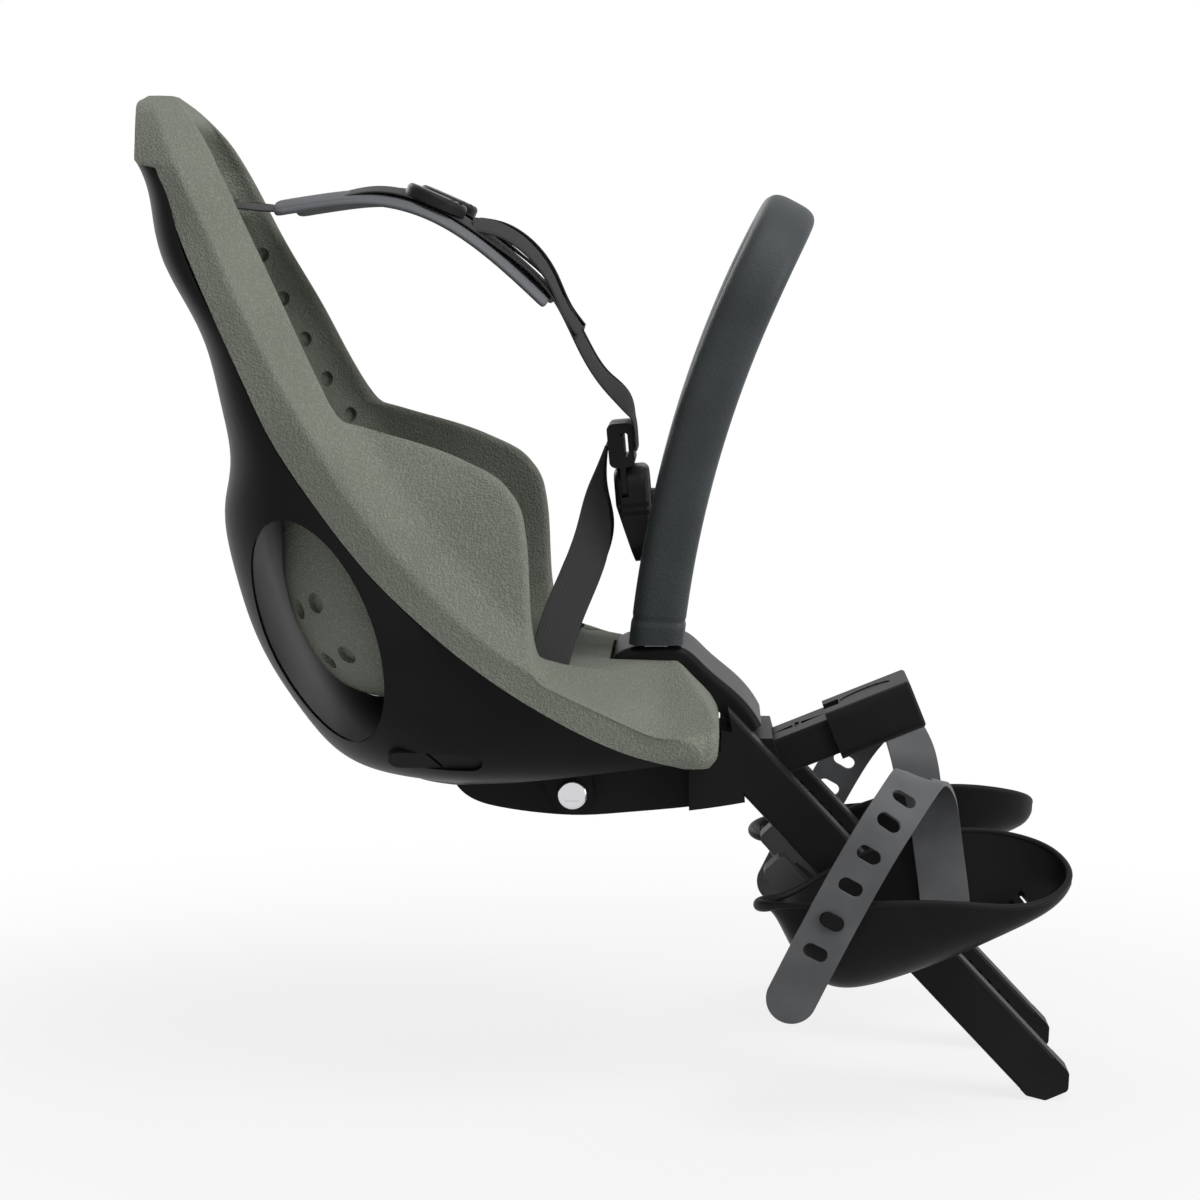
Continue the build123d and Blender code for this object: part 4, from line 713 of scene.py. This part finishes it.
def hollow_rows(height):
    """Half rows above the pan: from the middle of the hollow's back, round its elliptical corner, along the side
    and over the foam's edge, a half ellipse. Towards the crown, what lies inside the edge moves up to it."""
    step, beside = 0.05, 10
    front, = through(FRONT_EDGE, height)
    ahead, = through(FRONT_EDGE, height + step)
    rim = through(RIM, np.minimum(height, RIM[-1, 0]))
    rear, half, depth, corner = through(HOLLOW, height)
    # how far the edge's round reaches back, averaged over the rows beside
    reach = np.minimum(FOAM_EDGE * np.sqrt(1 + ((ahead - front) / step) ** 2), EDGE_REACH)
    shares = np.ones(2 * beside + 1) / (2 * beside + 1)
    reach = np.convolve(np.pad(reach, beside, "edge"), shares, "valid")
    end = front - reach
    turn = rear + depth
    swing = np.arccos(np.clip((turn - end) / depth, 0.0, 1.0))
    straight = half - corner
    inner = straight + corner * np.sin(swing)
    outer = np.maximum(rim_width(end, *rim), inner + EDGE_WIDTH)
    # the ellipse's outer half grows until it meets the bevel along its slope
    for _ in range(6):
        lean = np.maximum(rim_width(end - 0.5, *rim) - rim_width(end + 0.5, *rim), 0.0)
        last = np.arctan2((outer - inner) / 2, lean * reach)
        start = end + reach * np.cos(last)
        outer = inner + np.maximum(2 * (rim_width(start, *rim) - inner) / (1 + np.sin(last)), EDGE_WIDTH)
    flat, bend, side = HOLLOW_COLUMNS
    back_y = straight[:, None] * np.linspace(0, 1, flat)
    back_x = held(rear, flat)
    angle = swing[:, None] * np.linspace(0, 1, bend + 1)[1:]
    bend_x = turn[:, None] - depth[:, None] * np.cos(angle)
    bend_y = straight[:, None] + corner[:, None] * np.sin(angle)
    side_x = spread(bend_x[:, -1], np.maximum(end, bend_x[:, -1]), side)
    side_y = held(inner, side)
    angle = -math.pi / 2 + (last + math.pi / 2)[:, None] * np.linspace(0, 1, ROUND_COLUMNS + 2)[1:-1]
    cap_x = end[:, None] + reach[:, None] * np.cos(angle)
    cap_y = ((inner + outer) / 2)[:, None] + ((outer - inner) / 2)[:, None] * np.sin(angle)
    fade = eased(height, *CROWN)[:, None]
    back_x, bend_x, side_x = (x + fade * (front[:, None] - x) for x in (back_x, bend_x, side_x))
    cap_x = np.where(angle < 0, cap_x + fade * (front[:, None] - cap_x), cap_x)
    return joined_rows([(back_x, back_y), (bend_x, bend_y), (side_x, side_y), (cap_x, cap_y)], start, rim, height)


def nose_rows(height):
    """Half rows of the liner's nose, below the pan: along the notch's end and side, across the front and round
    its corner, which is a quarter circle."""
    front, = through(FRONT_EDGE, height)
    rim = through(RIM, height)
    end = front - NOSE_EDGE
    side = rim_width(end, *rim)
    notch = np.full(len(height), NOTCH_HALF_WIDTH)
    notch_y = notch[:, None] * np.linspace(0, 1, NOTCH_COLUMNS)
    notch_x = np.full(notch_y.shape, NOTCH_REAR)
    wall = np.maximum(np.minimum(rim[0], end - 2 * LEAST_RUN) + STEP_FORWARDS, NOTCH_REAR)
    run = sum(HOLLOW_COLUMNS) - NOTCH_COLUMNS - 2
    across_y = abreast(held(notch, 2), spread(notch, side - NOSE_EDGE, run))
    across_x = abreast(held(wall, 1), held(front, run + 1))
    angle = np.linspace(0, math.pi / 2, ROUND_COLUMNS + 2)[1:-1]
    cap_x = end[:, None] + NOSE_EDGE * np.cos(angle)
    cap_y = (side - NOSE_EDGE)[:, None] + NOSE_EDGE * np.sin(angle)
    return joined_rows([(notch_x, notch_y), (across_x, across_y), (cap_x, cap_y)], end, rim, height)


def sloped_thighs(points):
    """Lowers the thigh pads to their slopes: a soft least of the height and of a plane that falls outwards, and
    forwards as far as the nose, in front of the wings only."""
    x, y, z = points[..., 0], np.abs(points[..., 1]), points[..., 2]
    run = x - THIGH_POINT[0]
    run = run - hinge(run - THIGH_RUN, RUN_SOFTNESS)
    plane = THIGH_POINT[2] - THIGH_FALL[0] * run - THIGH_FALL[1] * (y - THIGH_POINT[1])
    height = z - hinge(z - plane, THIGH_SOFTNESS) * eased(x, *THIGH_REAR)
    return np.concatenate([points[..., :2], height[..., None]], axis=-1)


def edges_of(faces):
    """Edges of faces, in each face's direction."""
    return np.stack([faces, np.roll(faces, -1, axis=1)], axis=2).reshape(-1, 2)


def slot_opening(first, second, quads, triangles, half_run, radius, near):
    """Rounded slot in a mesh laid flat, round the origin and along the first direction. The faces beside it become
    triangles, and of each edge that crosses the outline the closer end moves onto it. Gives the moves, the points
    of the outline, and the faces that stay."""
    arm = first - np.clip(first, -half_run, half_run)
    gap = np.hypot(arm, second)
    beside = (near & (gap < radius + SLOT_ROOM))[quads].any(axis=1)
    corners = quads[beside]
    triangles = np.concatenate([triangles, corners[:, :3], corners[:, [0, 2, 3]]])
    beyond = gap - radius
    start, end = edges_of(triangles).T
    crossing = (beyond[start] * beyond[end] < 0) & near[start] & near[end]
    closer = np.where(np.abs(beyond[start]) < np.abs(beyond[end]), start, end)[crossing]
    outline = np.zeros(len(first), bool)
    outline[closer] = True
    scale = np.where(outline, radius / np.maximum(gap, 1e-6) - 1.0, 0.0)
    inside = near & (beyond < 0) & ~outline
    gone = inside[triangles].any(axis=1) | (inside | outline)[triangles].all(axis=1)
    return arm * scale, second * scale, outline, quads[~beside], triangles[~gone]


def sunk_slots(points, quads, triangles, slots):
    """Sinks rounded slots into a skin: the outline's open edges are carried inwards as walls, and a fan closes
    the end."""
    for middle, long, inwards, half_run, radius, depth in slots:
        wide = np.cross(inwards, long)
        away = points - middle
        near = np.abs(away @ inwards) < SLOT_NEAR
        along, across, outline, quads, triangles = slot_opening(
            away @ long, away @ wide, quads, triangles, half_run, radius, near)
        points = points + along[:, None] * long + across[:, None] * wide
        edges = edges_of(triangles)
        edges = edges[outline[edges].all(axis=1)]
        count = len(points)
        key = edges.min(axis=1) * count + edges.max(axis=1)
        _, place, times = np.unique(key, return_index=True, return_counts=True)
        start, end = edges[place[times == 1]].T
        used, number = np.unique(np.concatenate([start, end]), return_inverse=True)
        low_start, low_end = (count + number).reshape(2, -1)
        sunk = points[used] + depth * inwards
        points = np.concatenate([points, sunk, sunk.mean(axis=0, keepdims=True)])
        quads = np.concatenate([quads, np.stack([end, start, low_start, low_end], axis=1)])
        fan = np.stack([low_end, low_start, np.full(len(start), len(points) - 1)], axis=1)
        triangles = np.concatenate([triangles, fan])
    return points, quads, triangles


def both_sides(slots):
    """Slots of the left side, each after its mirror image on the right."""
    return [(*(turn(value) for value in slot[:3]), *slot[3:]) for slot in slots for turn in (mirrored, np.array)]


def liner_skin():
    """The foam liner: level rings from the nose, along the pan and up the hollow, with the thigh slopes, the
    notch under the console, vents and strap slots."""
    height = liner_levels()
    nose = nose_rows(height[height < PAN_HEIGHT])
    above = hollow_rows(height[height > PAN_HEIGHT])
    pan = nose[-1:] + (above[:1] - nose[-1:]) * np.linspace(0, 1, PAN_ROWS)[1:-1, None, None]
    half = np.concatenate([nose, pan, above])
    columns = half.shape[1]
    # below the pan's floor the notch parts the nose: there its end is a sheet without thickness, which is left out
    edge = half[:, FRONT_COLUMNS + BEVEL_COLUMNS + FLANK_COLUMNS, 0]
    parted = (half[:, 0, 2] < TUB[0, 0]) & (edge + STEP_FORWARDS > NOTCH_REAR)
    ring = sloped_thighs(abreast(half, mirrored(half[:, -2:0:-1])))
    rows, around, _ = ring.shape
    faces = grid_faces(rows, around, close_columns=True)
    row, column = np.divmod(np.arange(len(faces)), around)
    column = np.minimum(column, 2 * columns - 3 - column)
    sheet = (column < NOTCH_COLUMNS) | (column >= columns - NOTCH_COLUMNS - 1)
    low = np.concatenate([parted[1:], [False]])[row]
    faces = faces[~(low & sheet)]
    points = ring.reshape(-1, 3)
    slots = [BACK_SLOT]
    for place, facing, radius in VENTS:
        into = -np.array(facing) / np.linalg.norm(facing)
        slots.append((place, np.cross(into, (0, 0, 1)) / np.linalg.norm(into[:2]), into, 0.0, radius, VENT_DEPTH))
    slots.append(HIP_SLOT)
    points, faces, triangles = sunk_slots(points, faces, NO_TRIANGLES, both_sides(slots))
    # fans close the top and the undersides of the nose's two lips
    top = np.arange(around) + (rows - 1) * around
    lip = np.arange(NOTCH_COLUMNS, columns - NOTCH_COLUMNS - 1)
    fans = [triangles]
    for start, end in ((top, np.roll(top, -1)), (lip + 1, lip), (around - lip, around - lip - 1)):
        fans.append(np.stack([start, end, np.full(len(start), len(points))], axis=1))
        points = np.concatenate([points, points[start].mean(axis=0, keepdims=True)])
    made = piece("liner_skin", (points, faces, np.concatenate(fans), None), "liner_foam", node="seat_liner")
    seam = made.modifiers.new("seam", "WELD")
    seam.merge_threshold = SEAM * MM


def ribbon(route, count):
    """Frames along a band: places on a smooth line through the route, directions of the width and of the
    thickness, and the length along it."""
    places = np.array([place for place, _ in route], float)
    sides = np.array([side for _, side in route], float)
    line, even, place, chord = flowing(places, count)
    along = unit(np.gradient(line, axis=0))
    side = square_to(natural(chord, sides, place), along)
    return line, side, np.cross(along, side), even


def carried(line, side, up, out, rise):
    """Section points carried along a line: out along the width and up along the thickness, for each ring."""
    return line[:, None] + side[:, None] * out[..., None] + up[:, None] * rise[..., None]


def oval(around, power):
    """A ring's cosines and sines, each raised to a power below one, which squares the ring up."""
    angle = np.linspace(0, 2 * math.pi, around, endpoint=False)
    cosine, sine = np.cos(angle), np.sin(angle)
    return np.sign(cosine) * np.abs(cosine) ** power[0], np.sign(sine) * np.abs(sine) ** power[1]


def band_skin(route, width, thickness, count, around=36):
    """Woven band: a flat section with rounded edges carried along a line. Its map runs from 0 to 1 across it and
    in metres along it."""
    line, side, up, even = ribbon(route, count)
    out, rise = oval(around, WEB_SQUARENESS)
    points = carried(line, side, up, out * width / 2, rise * thickness / 2)
    return capped(points, out / 2 + 0.5, even)


def right(route):
    """Stations on the child's right."""
    return [((x, -y, z), side) for (x, y, z), side in route]


def level_width(points, roll=0.0):
    """Stations on the child's right of a band whose width lies level, or rolls down outwards."""
    return right([(tuple(point), (0, 1, roll)) for point in points])


def lifted(route, lift):
    """Line above a side-view route, by a lift square to it."""
    points = np.array(route, float)
    along = np.gradient(points, axis=0)
    angle = np.arctan2(along[:, 2], along[:, 0])
    up = np.stack([-np.sin(angle), np.zeros(len(points)), np.cos(angle)], axis=1)
    return points + np.asarray(lift)[:, None] * up


def shoulder_pad():
    """Shoulder pad: along its line, a crowned section with a thin bound edge, whose width and thickness close in a
    round at both ends; the crown is a cosine across the pad. Its map is in metres both ways."""
    count, around = 150, 72
    line, side, up, even = ribbon(level_width(PAD_ROUTE, PAD_ROLL), count)
    from_end = np.minimum(even, even[-1] - even)
    closing = np.sqrt(1 - (1 - np.clip(from_end / PAD_CORNER, 0, 1)) ** 2)
    half = PAD_WIDTH / 2 - PAD_CORNER * (1 - closing)
    out, rise = oval(around, PAD_SQUARENESS)
    inner = np.abs(out)
    binding = np.clip((PAD_BINDING - inner) / BINDING_SLOPE, 0, 1)
    crown = PAD_EDGE + binding * (PAD_STEP + PAD_CROWN * np.cos(np.minimum(inner / PAD_BINDING, 1.0) * math.pi / 2))
    thick = PAD_END + (1 - PAD_END) * np.sqrt(np.clip(from_end / PAD_END_RUN, 0, 1))
    points = carried(line, side, up, half[:, None] * out, thick[:, None] * rise * crown * PAD_THICKNESS / 2)
    return capped(points, half[:, None] * out * MM, even)


def harness():
    """Straps of the harness with the shoulder pads: the shoulder band runs inside the pad at first, then on top
    of it, and its loose end stands off."""
    on_pad = lifted(PAD_ROUTE, WEB_LIFTS)
    route = [*level_width([*WEB_START, *on_pad], PAD_ROLL), *level_width(WEB_LOWER[:3], WEB_ROLL),
             *level_width(WEB_LOWER[3:])]
    shoulder = band_skin(route, WEB_WIDTH, WEB_THICKNESS, count=260)
    tail = band_skin(level_width(WEB_TAIL, TAIL_ROLL), TAIL_WIDTH, TAIL_THICKNESS, count=90)
    hip = band_skin(right(HIP_ROUTE), HIP_WIDTH, WEB_THICKNESS, count=140)
    pad = shoulder_pad()
    for side in SIDES:
        piece(f"web_shoulder_{side}", shoulder, "webbing", node=f"shoulder_webbing_{side}", side=side)
        piece(f"web_tail_{side}", tail, "webbing", side=side)
        piece(f"web_hip_{side}", hip, "webbing", node=f"hip_webbing_{side}", side=side)
        made = piece(f"pad_shoulder_{side}", pad, "pad_fabric", node=f"shoulder_pad_{side}", side=side)
    crotch = band_skin(CROTCH_ROUTE, WEB_WIDTH, WEB_THICKNESS, count=60)
    piece("web_crotch", crotch, "webbing", node="crotch_webbing")


def hoop_line(count):
    """Middle line of the hoop: an arch of two splayed runs, two round shoulders and a top bar, laid on the
    big bend's cylinder along the handle's leaning sight line."""
    slope = (HOOP_TOP_SPREAD - HOOP_FOOT_SPREAD) / HOOP_SHOULDER
    top = HOOP_HEIGHT - COVER_WIDTH / 2
    radius = (HOOP_HEIGHT - HOOP_SHOULDER) * HOOP_ROUND - COVER_WIDTH / 2
    lean = math.atan(slope)
    # centre of a shoulder's round, a radius inside the run and under the bar
    rise = top - radius
    reach = HOOP_FOOT_SPREAD + slope * rise - radius / math.cos(lean)
    angle = np.linspace(-lean, math.pi / 2, 40)
    shoulder = np.stack([reach + radius * np.cos(angle), rise + radius * np.sin(angle)], axis=1)
    half = np.concatenate([[[HOOP_FOOT_SPREAD, 0.0]], shoulder])
    arch = np.concatenate([half, (half * np.array([-1, 1]))[::-1]])
    length = lengths(arch)
    even = np.linspace(0, length[-1], count)
    beside = np.interp(even, length, arch[:, 0])
    climb = np.interp(even, length, arch[:, 1])
    up = np.array([math.sin(HOOP_LEAN), math.cos(HOOP_LEAN)])
    out = np.array([math.cos(HOOP_LEAN), -math.sin(HOOP_LEAN)])
    base = HOOP_FOOT + climb[:, None] * up - BEND_CENTRE
    part = base @ out
    reach = -part - np.sqrt(part ** 2 - (np.sum(base ** 2, axis=1) - BEND_RADIUS ** 2))
    flat = base + reach[:, None] * out + BEND_CENTRE
    return np.stack([flat[:, 0], -beside, flat[:, 1]], axis=1), even


def handle_cover():
    """Padded cover: a rounded section carried round the hoop, with a fold where the hem begins. Near a foot the
    points slide along the hoop so that its end is cut level."""
    count, around = 340, 56
    line, even = hoop_line(count)
    along = unit(np.gradient(line, axis=0))
    radial = line - np.array([BEND_CENTRE[0], 0, BEND_CENTRE[1]])
    radial[:, 1] = 0
    radial = square_to(radial, along)
    past_hem = np.minimum(even, even[-1] - even) - HEM_PLACE
    hem = 1.0 - HEM_FOLD * np.exp(-(past_hem / HEM_RUN) ** 2) + HEM_SWELL / (1 + np.exp(past_hem * HEM_STEEPNESS))
    deep, wide = oval(around, COVER_SQUARENESS)
    points = carried(line, radial, np.cross(along, radial), hem[:, None] * deep * COVER_DEPTH / 2,
                     hem[:, None] * wide * COVER_WIDTH / 2)
    for end in (0, -1):
        slide = (COVER_FOOT - points[end, :, 2]) / along[end, 2]
        fade = np.clip(1 - np.abs(even - even[end]) / LEVEL_RUN, 0, 1)
        points = points + along[:, None] * (fade[:, None] * slide)[..., None]
    made = piece("handle_cover", capped(points, deep, even), "handle_cover", node="handle_pad")


def foot_strap():
    """Foot strap laid flat, as a grid along and across it: a round tail, where the half width closes as a circle, and
    rounded slots across it; each flat point then goes to its place on the strap's line."""
    count, across = 420, 53
    line, side, _, even = ribbon(right(STRAP_ROUTE), count)
    tail = even[np.argmin(np.hypot(line[:, 0] - STRAP_TAIL[0], line[:, 2] - STRAP_TAIL[1]))]
    reach = STRAP_WIDTH / 2
    along = np.where(even < tail, even, tail + reach * np.sin(np.clip((even - tail) / reach, 0, 1) * math.pi / 2))
    squeeze = np.sqrt(np.clip(1 - (np.clip(along - tail, 0, reach) / reach) ** 2, STRAP_TIP, 1))
    rows = np.count_nonzero(even < tail + reach)
    first = (np.linspace(-reach, reach, across) * squeeze[:rows, None]).ravel()
    second = np.repeat(along[:rows], across)
    faces = grid_faces(rows, across)
    triangles = NO_TRIANGLES
    everywhere = np.ones(len(first), bool)
    for x, z in STRAP_HOLES:
        middle = even[np.argmin(np.hypot(line[:, 0] - x, line[:, 2] - z))]
        out, onwards, _, faces, triangles = slot_opening(
            first, second - middle, faces, triangles, *STRAP_SLOT, everywhere)
        first, second = first + out, second + onwards
    place, wide = np.array([np.interp(second, even, values) for values in abreast(line, side).T]).reshape(2, 3, -1)
    points = (place + first * wide).T
    used, number = np.unique(np.concatenate([faces.ravel(), triangles.ravel()]), return_inverse=True)
    band = np.stack([first[used] * MM, second[used] * MM], axis=1)
    return points[used], number[:faces.size].reshape(-1, 4), number[faces.size:].reshape(-1, 3), band


def foot_straps():
    """Both foot straps, as sheets that get their thickness and soft edges from modifiers."""
    strap = foot_strap()
    for side in SIDES:
        made = piece(f"strap_foot_{side}", strap, "strap_rubber", f"foot_{side}", f"foot_strap_{side}", side, False)
        wall = made.modifiers.new("thickness", "SOLIDIFY")
        wall.thickness = STRAP_THICKNESS * MM
        wall.offset = 0.0
        edge = made.modifiers.new("soft_edge", "BEVEL")
        edge.width = STRAP_SOFT_EDGE * MM
        edge.segments = 2
        edge.limit_method = "ANGLE"


def cup_lips():
    """Rounded lips of the foot cups: a small circle carried round the cup's rim, which is one smooth closed line."""
    around, lap, count = 16, 3, 700
    rim = np.array(CUP_RIM, float)
    line, _, place, chord = flowing(np.concatenate([rim[-lap:], rim, rim[:lap + 1]]), count)
    line = line[(place >= chord[lap]) & (place < chord[lap + len(rim)])]
    along = unit(np.roll(line, -1, axis=0) - np.roll(line, 1, axis=0))
    side = unit(np.cross(along, (0, 0, 1)))
    out, rise = oval(around, (1.0, 1.0))
    shape = LIP_RADIUS * (1 + HEEL_SWELL * np.exp(-((line[:, :1] - HEEL_PLACE) / HEEL_RUN) ** 2))
    points = carried(line, side, np.cross(along, side), shape * out, shape * rise).reshape(-1, 3)
    # the row after the last one is the first
    faces = grid_faces(len(line) + 1, around, close_columns=True) % len(points)
    for hand in SIDES:
        piece(f"cup_lip_{hand}", (mirrored(points), faces, NO_TRIANGLES, None), "frame_plastic", f"foot_{hand}",
              side=hand)


def dress_solids():
    """Gives every solid that shows the finish of its slot."""
    slots = {part["node"]: part["material_slot"] for part in frame["record"]["subparts"]}
    for name, thing in frame["nodes"].items():
        finish = FINISHES[slots[name]]
        if name.startswith("cap_pin"):
            finish = FINISHES["frame_plastic"]
        thing.data.materials.clear()
        thing.data.materials.append(finish)


def rays_seen(tree):
    """1 for what the camera sees, straight or through gloss and glass, and 0 for light that falls on the object."""
    rays = tree.nodes.new("ShaderNodeLightPath")
    kinds = [Strand(tree, rays.outputs[f"Is {kind} Ray"]) for kind in ("Camera", "Glossy", "Transmission")]
    return kinds[0].math("MAXIMUM", kinds[0], kinds[0].math("MAXIMUM", kinds[1], kinds[2]))


def white_floor():
    """Pale floor: it shows a soft shadow near the object and fades to plain white away from it."""
    low = cad_box[0][2]
    mesh = bpy.data.meshes.new("floor")
    corners = np.array([(-1, -1, 0), (1, -1, 0), (1, 1, 0), (-1, 1, 0)], float) * FLOOR_REACH + np.array([0, 0, low])
    mesh.from_pydata(corners, [], [(0, 1, 2, 3)])
    floor = placed("floor", mesh)
    material, shader, strand = new_finish("floor_white", roughness=0.9, specular=0.0)
    shader.inputs["Base Color"].default_value = (FLOOR_GREY, FLOOR_GREY, FLOOR_GREY, 1)
    tree = material.node_tree
    flat = strand.node("ShaderNodeVectorMath", {"operation": "SUBTRACT"},
                       {0: place_of(strand), 1: (FLOOR_CENTRE, 0.0, low)})
    away = strand.node("ShaderNodeVectorMath", {"operation": "LENGTH"}, {0: flat}, out=1)
    glow = strand.node("ShaderNodeEmission", {}, {"Color": (1, 1, 1, 1), "Strength": 1.0})
    share = rays_seen(tree) * (FLOOR_WHITE + (1.0 - FLOOR_WHITE) * away.within(*FLOOR_FADE))
    mix = strand.node("ShaderNodeMixShader", {}, {0: share, 1: Strand(tree, shader.outputs[0]), 2: glow})
    tree.links.new(mix.socket, tree.nodes["Material Output"].inputs["Surface"])
    mesh.materials.append(material)


def aimed(made, place, direction):
    """Puts a lamp or a camera at a place, turned in a direction."""
    made.location = place
    made.rotation_euler = direction.to_track_quat("-Z", "Y").to_euler()


def studio():
    """Pale floor, soft light all round, the lamps, and the camera at the photograph's angle."""
    white_floor()
    world = bpy.data.worlds.new("studio")
    bpy.context.scene.world = world
    world.use_nodes = True
    tree = world.node_tree
    strength = WORLD_LIGHT + (1.0 - WORLD_LIGHT) * rays_seen(tree)
    tree.nodes["Background"].inputs["Color"].default_value = (1, 1, 1, 1)
    tree.links.new(strength.socket, tree.nodes["Background"].inputs["Strength"])
    for name, place, size, power in LAMPS:
        data = bpy.data.lights.new(name, "AREA")
        data.size = size
        data.energy = power
        aimed(placed(name, data), place, LAMP_AIM - Vector(place))
    level = math.cos(CAMERA_RISE)
    back = Vector((math.sin(CAMERA_TURN) * level, -math.cos(CAMERA_TURN) * level, math.sin(CAMERA_RISE)))
    lens = bpy.data.cameras.new("camera")
    lens.sensor_width = CAMERA_SENSOR
    lens.lens = CAMERA_LENS
    camera = placed("camera", lens)
    aimed(camera, CAMERA_TARGET + back * CAMERA_AWAY, -back)
    bpy.context.scene.camera = camera
    bpy.context.scene.view_settings.view_transform = "Standard"


dress_solids()
liner_skin()
harness()
handle_cover()
foot_straps()
cup_lips()
studio()
